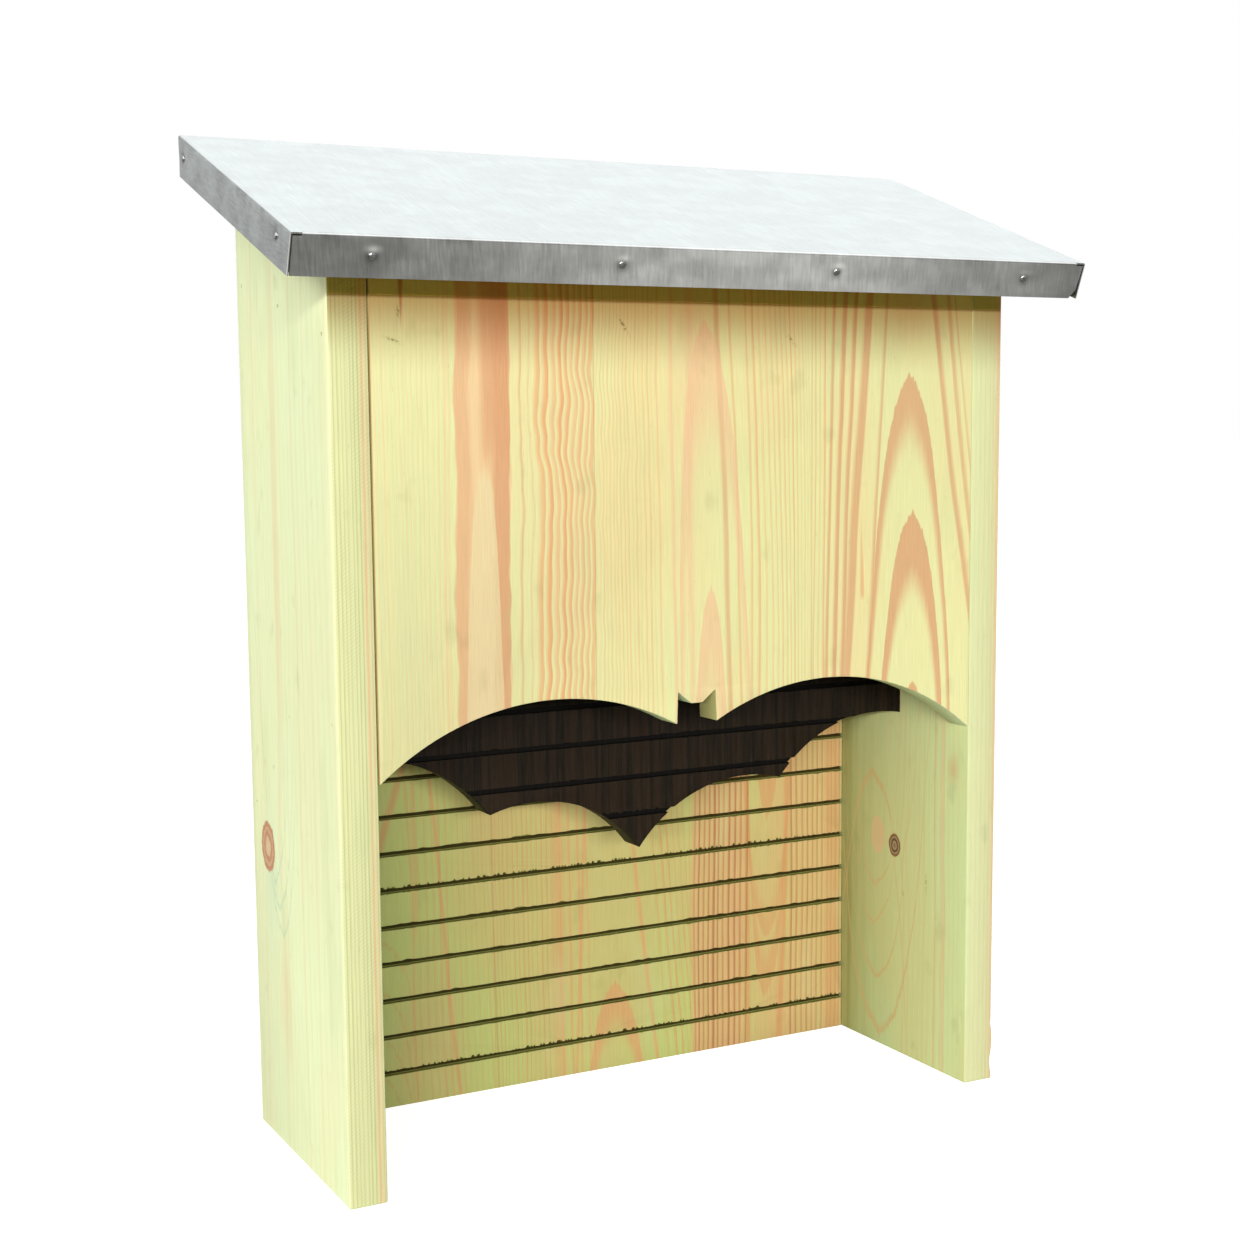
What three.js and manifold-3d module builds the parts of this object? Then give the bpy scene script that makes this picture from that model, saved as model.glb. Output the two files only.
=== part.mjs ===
// Bat box: two side boards with a back, an inner roost board and a front board pinned between
// them, under a sloping roof board wrapped in folded sheet metal.
// Millimetres, +Z up, the front faces -Y, and the box stands on the ends of its side boards.
import * as THREE from 'three';
import Module from 'manifold-3d';
import { mergeVertices } from 'three/addons/utils/BufferGeometryUtils.js';

// Carcass
const width = 360;
const depth = 128;
const sideThickness = 18;
const panelThickness = 16;
const partitionSetback = 58;
const crossoverGap = 20;
const panelGap = 0.2;
const seatGap = 0.2;

// Roof board and its folded sheet
const roofSlope = THREE.MathUtils.degToRad(20.75);
const eaveHeight = 423.5;
const frontOverhang = 32;
const sideOverhang = 26;
const roofThickness = 16;
const sheetThickness = 0.7;
const sheetGap = 0.2;
const bendRadius = 1.2;
const flapDepth = 18;
const cornerGap = 1.2;
const creaseSlitLength = 5;
const creaseSlitWidth = 0.8;

// Front board: two wing arches with a pair of ears between them
const archFootHeight = 189.8;
const archRise = 23.6;
const shoulderHalf = 10.8;
const shoulderRise = 15.2;
const earLean = 0.6;
const earRise = 15.3;
const browDrop = 5.8;
const browShare = 0.3;

// Roost board: wing tips and tail below the wing roots, a little lopsided as sawn
const wingRootHeight = 190.2;
const wingRise = 11.5;
const tailDrop = 56.8;
const leftTip = { side: -1, share: 0.51, drop: 31.9, scallopRise: 14.1 };
const rightTip = { side: 1, share: 0.522, drop: 28.4, scallopRise: 13.6 };

// Saw kerfs that the bats grip
const kerfPitch = 19;
const kerfWidth = 2.5;
const kerfDepth = 2.5;
const firstKerfHeight = 18;
const kerfTopMargin = 14;

// Keyhole routed in the rear face of the back board
const keyholeDrop = 64;
const keyholeRise = 14;
const keyholeHeadRadius = 5;
const keyholeNeckRadius = 2.5;
const keyholeLip = 4;
const keyholeSkin = 4;

// Fasteners, each with the bite it takes in the second board
const sheetNail = { shank: 1, head: 2.1, rise: 0.9, sunk: 0, length: 19, point: 2 };
const deckNailBite = 26;
const sidePinBite = 17;
const deckNailLength = roofThickness + deckNailBite;
const sidePinLength = sideThickness + sidePinBite;
const deckNail = { shank: 1.2, head: 2.4, rise: 0, sunk: 0.3, length: deckNailLength, point: 3 };
const sidePin = { shank: 0.8, head: 0.8, rise: 0, sunk: 0.5, length: sidePinLength, point: 2 };
const headThickness = 0.8;
const nailSlip = 0.06;

// Where they sit: shares of the half roof, the flap, the slope, the depth and the boards' heights
const frontNailShares = [-0.825, -0.26, 0.289, 0.825];
const frontNailDropShare = 0.49;
const sideNailShares = [[0.108, 0.36], [0.945, 0.49]];
const deckNailShares = [0.19, 0.77];
const frontPinShares = [0.12, 0.86];
const roostPinShares = [0.1, 0.92];
const backPinShares = [0.357, 0.9];

// Counts and shares
const arcSteps = 28;
const roundSteps = 16;
const bendSteps = 4;
const domeShares = [[0.85, 0.55], [0.5, 0.88]];
const weldTolerance = 0.0001;

// Places that follow from the sizes above; the crease is rounded, so the sheet ends short of it
const creaseSetback = bendRadius * (Math.cos(roofSlope) + Math.sin(roofSlope) - 1);
const frontFace = (frontOverhang - creaseSetback - depth) / 2;
const backFace = frontFace + depth;
const innerHalf = width / 2 - sideThickness;
const panelHalf = innerHalf - panelGap;
const partitionFace = frontFace + partitionSetback;
const backPanelFace = backFace - panelThickness;
const roofHalf = width / 2 + sideOverhang;
const deckInset = sheetThickness + sheetGap;
const deckBottom = -deckInset - roofThickness;
const reach = eaveHeight + depth;
const slopeLength = (frontOverhang + depth) / Math.cos(roofSlope);
const keyholeDepth = panelThickness - kerfDepth - keyholeSkin;

// The roof frame has its origin on the front crease, Y up the slope and Z square to the sheet
const roofFrame = new THREE.Matrix4().makeTranslation(0, frontFace - frontOverhang, eaveHeight);
roofFrame.multiply(new THREE.Matrix4().makeRotationX(roofSlope));

function roofUndersideAt(y) {
  const run = y - frontFace + frontOverhang;
  return eaveHeight + run * Math.tan(roofSlope) + deckBottom / Math.cos(roofSlope);
}

const wasm = await Module();
wasm.setup();

function toSolid(geometry) {
  const bare = geometry.clone();
  bare.deleteAttribute('normal');
  bare.deleteAttribute('uv');
  const welded = mergeVertices(bare, weldTolerance);
  const corners = [];
  for (let i = 0; i < welded.index.count; i += 3) {
    const [a, b, c] = welded.index.array.slice(i, i + 3);
    if (a !== b && b !== c && c !== a) corners.push(a, b, c);
  }
  return new wasm.Manifold(new wasm.Mesh({
    numProp: 3,
    vertProperties: new Float32Array(welded.attributes.position.array),
    triVerts: new Uint32Array(corners),
  }));
}

function toGeometry(solid) {
  const mesh = solid.getMesh();
  const geometry = new THREE.BufferGeometry();
  geometry.setAttribute('position', new THREE.BufferAttribute(mesh.vertProperties, 3));
  geometry.setIndex(new THREE.BufferAttribute(mesh.triVerts, 1));
  const flat = geometry.toNonIndexed();
  flat.computeVertexNormals();
  return flat;
}

// A block between two corners
function block(low, high) {
  const size = high.map((value, i) => value - low[i]);
  const middle = high.map((value, i) => (value + low[i]) / 2);
  return new THREE.BoxGeometry(...size).translate(...middle);
}

// Points of an arc that rises above the chord between two points, without the first of them
function arc(from, to, rise) {
  const start = new THREE.Vector2(...from);
  const end = new THREE.Vector2(...to);
  const chord = end.clone().sub(start);
  const radius = (chord.lengthSq() / 4 + rise * rise) / (2 * rise);
  const down = new THREE.Vector2(chord.y, -chord.x).normalize().multiplyScalar(Math.sign(chord.x));
  const centre = start.clone().add(end).divideScalar(2).addScaledVector(down, radius - rise);
  const first = start.clone().sub(centre).angle();
  const last = end.clone().sub(centre).angle();
  const points = [];
  for (let i = 1; i <= arcSteps; i += 1) {
    const angle = THREE.MathUtils.lerp(first, last, i / arcSteps);
    points.push([centre.x + radius * Math.cos(angle), centre.y + radius * Math.sin(angle)]);
  }
  return points;
}

// A plate with an outline in X and Z and its front face at y
function plate(outline, y, thickness) {
  const shape = new THREE.Shape(outline.map((point) => new THREE.Vector2(...point)));
  const geometry = new THREE.ExtrudeGeometry(shape, { depth: thickness, bevelEnabled: false });
  return geometry.rotateX(Math.PI / 2).translate(0, y + thickness, 0);
}

// What lies above the seat of the roof board, and what lies behind the back plane
const aboveSeat = toSolid(
  block([-reach, -reach, deckBottom - seatGap], [reach, 2 * reach, reach]).applyMatrix4(roofFrame),
);
const behindBack = toSolid(block([-reach, backFace, -reach], [reach, 2 * reach, 2 * reach]));

// Kerfs sawn across the front face of a board between two heights
function sawKerfs(solid, face, lowest, highest) {
  let kerfed = solid;
  for (let z = firstKerfHeight; z < highest; z += kerfPitch) {
    const low = [-innerHalf, face - kerfDepth, z - kerfWidth / 2];
    const high = [innerHalf, face + kerfDepth, z + kerfWidth / 2];
    if (z > lowest) kerfed = kerfed.subtract(toSolid(block(low, high)));
  }
  return kerfed;
}

// Side boards
const solids = {};
for (const [name, side] of [['left_side', -1], ['right_side', 1]]) {
  const low = [Math.min(side * innerHalf, side * width / 2), frontFace, 0];
  const high = [low[0] + sideThickness, backFace, reach];
  solids[name] = toSolid(block(low, high)).subtract(aboveSeat);
}

// Front board
const shoulderHeight = archFootHeight + shoulderRise;
const leftFoot = [-panelHalf, archFootHeight];
const rightFoot = [panelHalf, archFootHeight];
const leftShoulder = [-shoulderHalf, shoulderHeight];
const rightShoulder = [shoulderHalf, shoulderHeight];
const earHalf = shoulderHalf - earLean;
const earHeight = shoulderHeight + earRise;
const browHalf = earHalf * browShare;
const browHeight = earHeight - browDrop;
const frontOutline = [
  leftFoot,
  ...arc(leftFoot, leftShoulder, archRise),
  [-earHalf, earHeight],
  [-browHalf, browHeight],
  [browHalf, browHeight],
  [earHalf, earHeight],
  rightShoulder,
  ...arc(rightShoulder, rightFoot, archRise),
  [panelHalf, reach],
  [-panelHalf, reach],
];
solids.front_panel = toSolid(plate(frontOutline, frontFace, panelThickness)).subtract(aboveSeat);

// Roost board: each wing runs from the wall to its tip and on down to the tail
const tailTip = [0, wingRootHeight - tailDrop];
const [leftWing, rightWing] = [leftTip, rightTip].map(({ side, share, drop, scallopRise }) => {
  const root = [side * panelHalf, wingRootHeight];
  const tip = [side * share * panelHalf, wingRootHeight - drop];
  return [root, ...arc(root, tip, wingRise), ...arc(tip, tailTip, scallopRise)];
});
const partitionTop = roofUndersideAt(partitionFace) - crossoverGap;
const partitionOutline = [
  ...leftWing,
  ...rightWing.reverse().slice(1),
  [panelHalf, partitionTop],
  [-panelHalf, partitionTop],
];
const partitionPlate = toSolid(plate(partitionOutline, partitionFace, panelThickness));
solids.roost_partition = sawKerfs(
  partitionPlate,
  partitionFace,
  tailTip[1],
  partitionTop - kerfTopMargin,
);

// Back board, with a keyhole whose neck rises from the entry hole and is undercut for a head
const backBlock = block([-panelHalf, backPanelFace, 0], [panelHalf, backFace, reach]);
const backKerfTop = roofUndersideAt(backPanelFace) - kerfTopMargin;
const backPlate = toSolid(backBlock).subtract(aboveSeat);
const keyholeFloor = backFace - keyholeDepth;
const keyholeHeight = roofUndersideAt(backFace) - keyholeDrop;

function keyholeRound(radius, end, height) {
  const length = end - keyholeFloor;
  const round = new THREE.CylinderGeometry(radius, radius, length, roundSteps);
  return toSolid(round.translate(0, keyholeFloor + length / 2, height));
}

function keyholeSlot(radius, end) {
  const top = keyholeHeight + keyholeRise;
  const slot = block([-radius, keyholeFloor, keyholeHeight], [radius, end, top]);
  return toSolid(slot).add(keyholeRound(radius, end, top));
}
solids.back_panel = sawKerfs(backPlate, backPanelFace, 0, backKerfTop)
  .subtract(keyholeRound(keyholeHeadRadius, backFace + keyholeDepth, keyholeHeight))
  .subtract(keyholeSlot(keyholeNeckRadius, backFace + keyholeDepth))
  .subtract(keyholeSlot(keyholeHeadRadius, backFace - keyholeLip));

// Roof board, square at the front and plumb at the back
const deckHalf = roofHalf - deckInset;
const deck = block([-deckHalf, deckInset, deckBottom], [deckHalf, reach, -deckInset]);
solids.roof_board = toSolid(deck.applyMatrix4(roofFrame)).subtract(behindBack);

// A fold in section: in from the edge along X, down the flap along -Y
function fold(length) {
  const inner = bendRadius - sheetThickness;
  const outside = [[2 * bendRadius, 0]];
  const inside = [[2 * bendRadius, -sheetThickness]];
  for (let i = 0; i <= bendSteps; i += 1) {
    const angle = (Math.PI / 2) * (1 + i / bendSteps);
    const [out, up] = [Math.cos(angle), Math.sin(angle)];
    outside.push([bendRadius + bendRadius * out, bendRadius * up - bendRadius]);
    inside.push([bendRadius + inner * out, inner * up - bendRadius]);
  }
  const outline = [...outside, [0, -flapDepth], [sheetThickness, -flapDepth], ...inside.reverse()];
  const shape = new THREE.Shape(outline.map((point) => new THREE.Vector2(...point)));
  return new THREE.ExtrudeGeometry(shape, { depth: length, bevelEnabled: false });
}

// Roof sheet: top plate, front fold with its flap run on to the corners, and two side folds
const slitHalf = roofHalf - creaseSlitLength;
const plateHalf = roofHalf - bendRadius;
const flapTop = -bendRadius - creaseSlitWidth;
const frontFold = fold(2 * slitHalf).applyMatrix4(new THREE.Matrix4().makeBasis(
  new THREE.Vector3(0, 1, 0),
  new THREE.Vector3(0, 0, 1),
  new THREE.Vector3(1, 0, 0),
));
const sheetPieces = [
  block([-plateHalf, bendRadius, -sheetThickness], [plateHalf, reach, 0]),
  frontFold.translate(-slitHalf, 0, 0),
];
for (const side of [-1, 1]) {
  const inOut = [slitHalf - creaseSlitLength, roofHalf - cornerGap].map((x) => side * x);
  const tongue = [slitHalf, plateHalf].map((x) => side * x);
  const sideFold = fold(reach).applyMatrix4(new THREE.Matrix4().makeBasis(
    new THREE.Vector3(-side, 0, 0),
    new THREE.Vector3(0, 0, 1),
    new THREE.Vector3(0, side, 0),
  ));
  sheetPieces.push(
    block([Math.min(...inOut), 0, -flapDepth], [Math.max(...inOut), sheetThickness, flapTop]),
    block([Math.min(...tongue), 0, -sheetThickness], [Math.max(...tongue), 2 * bendRadius, 0]),
    sideFold.translate(side * roofHalf, side < 0 ? reach : 0, 0),
  );
}
const flatSheet = sheetPieces.map(toSolid).reduce((sheet, piece) => sheet.add(piece));
const sheetOnRoof = toGeometry(flatSheet).applyMatrix4(roofFrame);
solids.roof_sheet = toSolid(sheetOnRoof).subtract(behindBack);

// A nail and its bore, turned about an axis whose zero is the surface it is driven into
function nailProfile({ shank, head, rise, sunk, length, point }) {
  const tip = [[0, -length], [shank, point - length]];
  if (rise > 0) {
    const dome = domeShares.map(([out, up]) => [out * head, up * rise]);
    return [...tip, [shank, nailSlip], [head, nailSlip], ...dome, [0, rise]];
  }
  const seat = -sunk - headThickness;
  return [...tip, [shank, seat], [head, seat], [head, -sunk], [0, -sunk]];
}

function boreProfile({ shank, head, rise, sunk, length }) {
  const narrow = shank + nailSlip;
  const wide = rise > 0 ? narrow : head + nailSlip;
  const seat = rise > 0 ? 0 : -sunk - headThickness - nailSlip;
  const end = -length - nailSlip;
  const mouth = headThickness;
  return [[0, end], [narrow, end], [narrow, seat], [wide, seat], [wide, mouth], [0, mouth]];
}

function turned(profile, point, direction) {
  const outline = profile.map((corner) => new THREE.Vector2(...corner));
  const turn = new THREE.Quaternion().setFromUnitVectors(
    new THREE.Vector3(0, -1, 0),
    new THREE.Vector3(...direction),
  );
  return new THREE.LatheGeometry(outline, roundSteps).applyQuaternion(turn).translate(...point);
}

// Every nail and pin: name, kind, the boards it goes through, its place, its way in and its frame
const upright = new THREE.Matrix4();
const drives = frontNailShares.map((share, i) => ({
  name: `front_flap_nail_${i + 1}`,
  kind: sheetNail,
  boards: ['roof_sheet', 'roof_board'],
  point: [share * roofHalf, 0, -frontNailDropShare * flapDepth],
  direction: [0, 1, 0],
  frame: roofFrame,
}));
const pinRows = [
  ['front_panel', frontFace, archFootHeight, roofUndersideAt(frontFace), frontPinShares],
  ['roost_partition', partitionFace, wingRootHeight, partitionTop, roostPinShares],
  ['back_panel', backPanelFace, 0, roofUndersideAt(backPanelFace), backPinShares],
];
for (const [word, side] of [['left', -1], ['right', 1]]) {
  sideNailShares.forEach(([along, down], i) => drives.push({
    name: `${word}_flap_nail_${i + 1}`,
    kind: sheetNail,
    boards: ['roof_sheet', 'roof_board'],
    point: [side * roofHalf, along * slopeLength, -down * flapDepth],
    direction: [-side, 0, 0],
    frame: roofFrame,
  }));
  deckNailShares.forEach((share, i) => drives.push({
    name: `${word}_deck_nail_${i + 1}`,
    kind: deckNail,
    boards: ['roof_board', `${word}_side`],
    point: [
      side * (innerHalf + sideThickness / 2),
      (frontOverhang + share * depth) / Math.cos(roofSlope),
      -deckInset,
    ],
    direction: [0, 0, -1],
    frame: roofFrame,
  }));
  for (const [panel, face, bottom, top, shares] of pinRows) {
    shares.forEach((share, i) => drives.push({
      name: `${word}_pin_${panel.split('_')[0]}_${i + 1}`,
      kind: sidePin,
      boards: [`${word}_side`, panel],
      point: [side * width / 2, face + panelThickness / 2, bottom + share * (top - bottom)],
      direction: [-side, 0, 0],
      frame: upright,
    }));
  }
}
for (const { kind, boards, point, direction, frame } of drives) {
  const bore = toSolid(turned(boreProfile(kind), point, direction).applyMatrix4(frame));
  for (const name of boards) solids[name] = solids[name].subtract(bore);
}

// Assembly
const greenPine = new THREE.MeshStandardMaterial({ color: 0xd8d89c, roughness: 0.7 });
const stainedPine = new THREE.MeshStandardMaterial({ color: 0x2a211b, roughness: 0.75 });
const galvanised = new THREE.MeshStandardMaterial({ color: 0xb9bdbb, roughness: 0.4, metalness: 0.9 });
const nailSteel = new THREE.MeshStandardMaterial({ color: 0xc4c6c8, roughness: 0.3, metalness: 1 });
const finishes = { roost_partition: stainedPine, roof_sheet: galvanised };
const group = new THREE.Group();

function place(name, solid, material) {
  const mesh = new THREE.Mesh(toGeometry(solid), material);
  mesh.name = name;
  group.add(mesh);
}
for (const [name, solid] of Object.entries(solids)) place(name, solid, finishes[name] ?? greenPine);
for (const { name, kind, point, direction, frame } of drives) {
  place(name, toSolid(turned(nailProfile(kind), point, direction).applyMatrix4(frame)), nailSteel);
}

export default group;
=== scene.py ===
# Bat box: green treated pine boards and a stained roost board under a folded galvanised roof
import math

import bmesh
import bpy
from mathutils import Matrix, Vector, noise


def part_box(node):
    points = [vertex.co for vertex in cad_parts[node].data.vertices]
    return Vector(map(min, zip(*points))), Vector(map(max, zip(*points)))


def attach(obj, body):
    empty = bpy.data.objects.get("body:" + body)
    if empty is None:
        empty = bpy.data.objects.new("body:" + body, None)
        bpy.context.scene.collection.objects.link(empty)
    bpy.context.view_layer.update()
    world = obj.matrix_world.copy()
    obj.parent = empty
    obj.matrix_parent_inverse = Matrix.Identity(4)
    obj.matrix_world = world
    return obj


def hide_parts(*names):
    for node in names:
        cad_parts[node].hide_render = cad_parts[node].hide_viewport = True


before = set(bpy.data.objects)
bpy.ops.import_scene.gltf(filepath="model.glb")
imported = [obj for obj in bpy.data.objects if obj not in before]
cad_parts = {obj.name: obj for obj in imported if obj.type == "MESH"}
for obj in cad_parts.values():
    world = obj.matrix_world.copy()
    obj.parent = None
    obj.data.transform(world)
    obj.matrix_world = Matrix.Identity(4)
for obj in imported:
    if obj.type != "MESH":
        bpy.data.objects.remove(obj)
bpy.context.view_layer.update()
mm = 0.001  # lengths below are in millimetres, and this brings them to metres
print("frame loaded:", len(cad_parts), "nodes")


# Camera, at the place and angle of the photograph

cameraPlace = {
    "spot": (-451.0, -811.7, 341.8),
    "yaw": 26.886,  # degrees, turned to the right
    "pitch": -6.338,
    "roll": -0.667,
    "lens": 54.6,
    "shiftX": 0.035,
    "shiftY": 0.019,
}


def placeCamera():
    bpy.ops.object.camera_add()
    camera = bpy.context.object
    camera.name = "photoCamera"
    turn = Matrix.Rotation(-math.radians(cameraPlace["yaw"]), 4, "Z")
    turn = turn @ Matrix.Rotation(math.radians(90 + cameraPlace["pitch"]), 4, "X")
    turn = turn @ Matrix.Rotation(math.radians(cameraPlace["roll"]), 4, "Z")
    camera.matrix_world = Matrix.Translation(Vector(cameraPlace["spot"]) * mm) @ turn
    camera.data.lens = cameraPlace["lens"]
    camera.data.shift_x = cameraPlace["shiftX"]
    camera.data.shift_y = cameraPlace["shiftY"]
    camera.data.dof.use_dof = False
    bpy.context.scene.camera = camera


placeCamera()
print("camera placed")


# Shader helpers: they add nodes to the tree at hand, take numbers or sockets, and give a socket back

tree = None


def startTree(owner):  # the material or world that nodes are added to from here
    global tree
    owner.use_nodes = True
    tree = owner.node_tree


def added(kind):
    return tree.nodes.new("ShaderNode" + kind)


def feed(socket, value):
    if isinstance(value, bpy.types.NodeSocket):
        tree.links.new(value, socket)
    elif socket.type == "RGBA":
        socket.default_value = (*value, 1)
    else:
        socket.default_value = value


def calc(operation, *values):
    node = added("Math")
    node.operation = operation
    for socket, value in zip(node.inputs, values):
        feed(socket, value)
    return node.outputs[0]


def total(result, *values):
    for value in values:
        result = calc("ADD", result, value)
    return result


def product(result, *values):
    for value in values:
        result = calc("MULTIPLY", result, value)
    return result


def minus(first, second):
    return calc("SUBTRACT", first, second)


def inverted(value):
    return minus(1, value)


def over(value, size):
    return calc("DIVIDE", value, size)


def absolute(value):
    return calc("ABSOLUTE", value)


def scaled(value, factor, shift):  # the value times a factor, with a shift added
    return calc("MULTIPLY_ADD", value, factor, shift)


def eased(value, low, high):  # 0 at low, 1 at high, smooth between them
    node = added("MapRange")
    node.interpolation_type = "SMOOTHSTEP"
    feed(node.inputs["Value"], value)
    feed(node.inputs["From Min"], low)
    feed(node.inputs["From Max"], high)
    return node.outputs["Result"]


def stretched(place, sizes):  # the place divided by a size along each axis
    node = added("CombineXYZ")
    for socket, value, size in zip(node.inputs, place, sizes):
        feed(socket, over(value, size))
    return node.outputs[0]


def cloudy(place, sizes, detail=2):  # noise with blobs of these sizes
    node = added("TexNoise")
    feed(node.inputs["Vector"], stretched(place, sizes))
    node.inputs["Scale"].default_value = 1
    node.inputs["Detail"].default_value = detail
    return node.outputs["Fac"]


def along(value, size, seed):  # noise that changes only along one value
    node = added("TexNoise")
    node.noise_dimensions = "1D"
    feed(node.inputs["W"], scaled(value, 1 / size, seed))
    node.inputs["Scale"].default_value = 1
    return node.outputs["Fac"]


def tossed(value, seed):  # a random number for each whole number
    node = added("TexWhiteNoise")
    node.noise_dimensions = "1D"
    feed(node.inputs["W"], total(value, seed))
    return node.outputs["Value"]


def tinted(amount, first, second, blend="MIX"):
    node = added("Mix")
    node.data_type = "RGBA"
    node.blend_type = blend
    feed(node.inputs["Factor"], amount)
    feed(node.inputs[6], first)
    feed(node.inputs[7], second)
    return node.outputs[2]


def shaded(colour, brightness):  # the colour times a number
    node = added("VectorMath")
    node.operation = "SCALE"
    feed(node.inputs[0], colour)
    feed(node.inputs["Scale"], brightness)
    return node.outputs[0]


def roundSquare(length, width):
    return scaled(length, length, product(width, width))


def ovalSquare(place, spot, halves):  # how far off an oval's middle, in halves of the oval, squared
    u = over(minus(place[0], spot[0]), halves[0])
    w = over(minus(place[2], spot[1]), halves[1])
    return roundSquare(u, w)


def faded(square):  # 1 in the middle, fading out
    return calc("EXPONENT", product(square, -1))


def spotted(place, spot, halves):
    return faded(ovalSquare(place, spot, halves))


def newFinish(name, roughness, specular=0.35, metallic=0.0):
    finish = bpy.data.materials.new(name)
    startTree(finish)
    shader = tree.nodes["Principled BSDF"]
    shader.inputs["Specular IOR Level"].default_value = specular
    shader.inputs["Metallic"].default_value = metallic
    shader.inputs["Roughness"].default_value = roughness
    return finish, shader


def raised(shader, height, depth, strength=0.6):
    bump = added("Bump")
    bump.inputs["Strength"].default_value = strength
    bump.inputs["Distance"].default_value = depth * mm
    feed(bump.inputs["Height"], height)
    feed(shader.inputs["Normal"], bump.outputs["Normal"])


# Pine: stripes, bands and flames laid across the board, all bent by the same drift, waves and knots

pine = {
    "late": (0.60, 0.33, 0.155),
    "lateCore": (0.47, 0.22, 0.09),
    "pink": (0.65, 0.36, 0.20),
    "rose": (0.50, 0.255, 0.115),
    "brown": (0.47, 0.235, 0.10),
    "peach": (0.63, 0.435, 0.245),
    "peachDark": (0.525, 0.28, 0.145),
    "blush": (0.65, 0.415, 0.245),
    "cream": (0.60, 0.505, 0.29),
    "sap": (0.53, 0.555, 0.30),
    # the tone of cut faces: the sawn wood's own colour, darkened as painted shade
    "sawn": (0.30, 0.31, 0.11),
    "line": (0.35, 0.155, 0.072),
    "resin": (0.42, 0.20, 0.10),
    "tan": (0.58, 0.39, 0.17),
    "endGrain": (0.64, 0.78, 0.46),
    # the painted shade inside the kerfs, and the lit tone of their floors
    "kerfShade": (0.018, 0.013, 0.0005),
    "kerfFloor": (0.21, 0.225, 0.055),
    "knotRed": (0.42, 0.215, 0.13),
    "knotPale": (0.60, 0.46, 0.28),
    "teal": (0.42, 0.55, 0.40),
    "scuff": (0.15, 0.17, 0.05),
    "damp": (0.42, 0.50, 0.26),
    # painted shade for the roof deck's front corners
    "paintedCornerShade": (0.02, 0.02, 0.012),
    # olive lines on a narrow edge, and painted shade on the right board
    "oliveLinesAndShade": (0.27, 0.275, 0.08),
    # painted shade under the eave: the tone of the shadow band and of the ramp below it
    "shadowBandShade": (0.76, 0.56, 0.18),
    "eaveShadeRamp": (0.45, 0.31, 0.20),
}
grain = {  # how far each mark of the wood runs across, through and along it
    "drift": (45, 45, 190),
    "waves": (30, 30, 27),
    "patches": (50, 50, 170),
    "streaks": (4, 4, 150),
    "jags": (1.3, 1.3, 11),
    "fibres": (0.45, 0.45, 20),
    "ducts": (0.7, 0.7, 5),
    "smudges": (15, 15, 22),
    "damp": (22, 22, 90),
    "sawMarks": (0.6, 0.6, 0.6),
    "flameSpread": 0.0075,
    "sway": 8,  # how far the drift pushes the grain
    "slant": 0.35,  # how far the rings move across for each millimetre through the board
    "fieldEdge": 0.2,  # how softly a field of stripes starts and ends
    "smudging": 0.14,  # how strong the smudges and the damp are
    "damping": 0.2,
    "edgeReach": 60,  # the rings of a narrow edge are drawn this far to both sides
    "glueLine": (0.12, 0.42),
}
# heights of the painted shade in the eave's shadow band, and of the cast shadow's edge, where the painted
# ramp of shade ends
eaves = {"shadowBandShade": (400.9, 402.3), "shadow": (401.7, 402.7)}  # heights


# Rows of a look. A band may also have lean, soft, wave, taper with tip, and above; stripes may have
# lean, uneven, share and luck; a flame may have down, lean, narrow, point, jag and edge.


def bandAt(at, half, amount, tone="late", **more):
    return {"at": at, "half": half, "amount": amount, "tone": tone, **more}


def stripesFrom(start, end, gap, amount, tone="late", **more):
    return {"from": start, "to": end, "gap": gap, "amount": amount, "tone": tone, **more}


def flameAt(tip, fade, amount, tone="late", **more):
    return {"tip": tip, "fade": fade, "amount": amount, "tone": tone, **more}


def knotAt(spot, halves, colour, rings=0, pale=0, rim=0):
    return {"spot": spot, "halves": halves, "colour": colour, "rings": rings, "pale": pale, "rim": rim}


def turnedAxes(source, look, kind="POINT", scale=1):  # a vector's u across the board, v through, w along
    mapping = added("Mapping")
    mapping.vector_type = kind
    feed(mapping.inputs["Vector"], source)
    mapping.inputs["Scale"].default_value = (scale,) * 3
    mapping.inputs["Rotation"].default_value = look.get("turn", (0, 0, 0))
    split = added("SeparateXYZ")
    feed(split.inputs[0], mapping.outputs["Vector"])
    return [split.outputs[axis] for axis in look.get("axes", "XYZ")]


def grainPlace(look):  # in millimetres
    return turnedAxes(added("TexCoord").outputs["Object"], look, scale=1 / mm)


def facing(look, axis):  # how far a face looks along u, v or w
    normal = added("NewGeometry").outputs["Normal"]
    return eased(absolute(turnedAxes(normal, look, "NORMAL")[axis]), 0.35, 0.75)


def centred(value, size=1.0):  # noise of 0 to 1 brought to minus and plus half the size
    return scaled(value, size, -size / 2)


def grainAcross(place, look):  # u as the grain sees it
    u, v, w = place
    drift = centred(cloudy(place, grain["drift"], 1), grain["sway"])
    waviness = look.get("waviness", 0.7)
    for spot, halves, extra in look.get("wavy", []):
        waviness = scaled(spotted(place, spot, halves), extra, waviness)
    waves = product(centred(cloudy(place, grain["waves"], 1)), waviness)
    across = total(u, drift, waves, scaled(v, grain["slant"], -grain["slant"] * look["face"]))
    for spot, halves, push in look.get("pushes", []):  # the grain parts round a knot
        off = over(minus(u, spot[0]), halves[0])
        across = scaled(product(off, spotted(place, spot, halves)), -push, across)
    return across


def leaned(across, w, at, lean, middle):  # distance across from a line that leans with height
    moved = minus(across, at)
    return scaled(minus(w, middle), -lean, moved) if lean else moved


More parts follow.
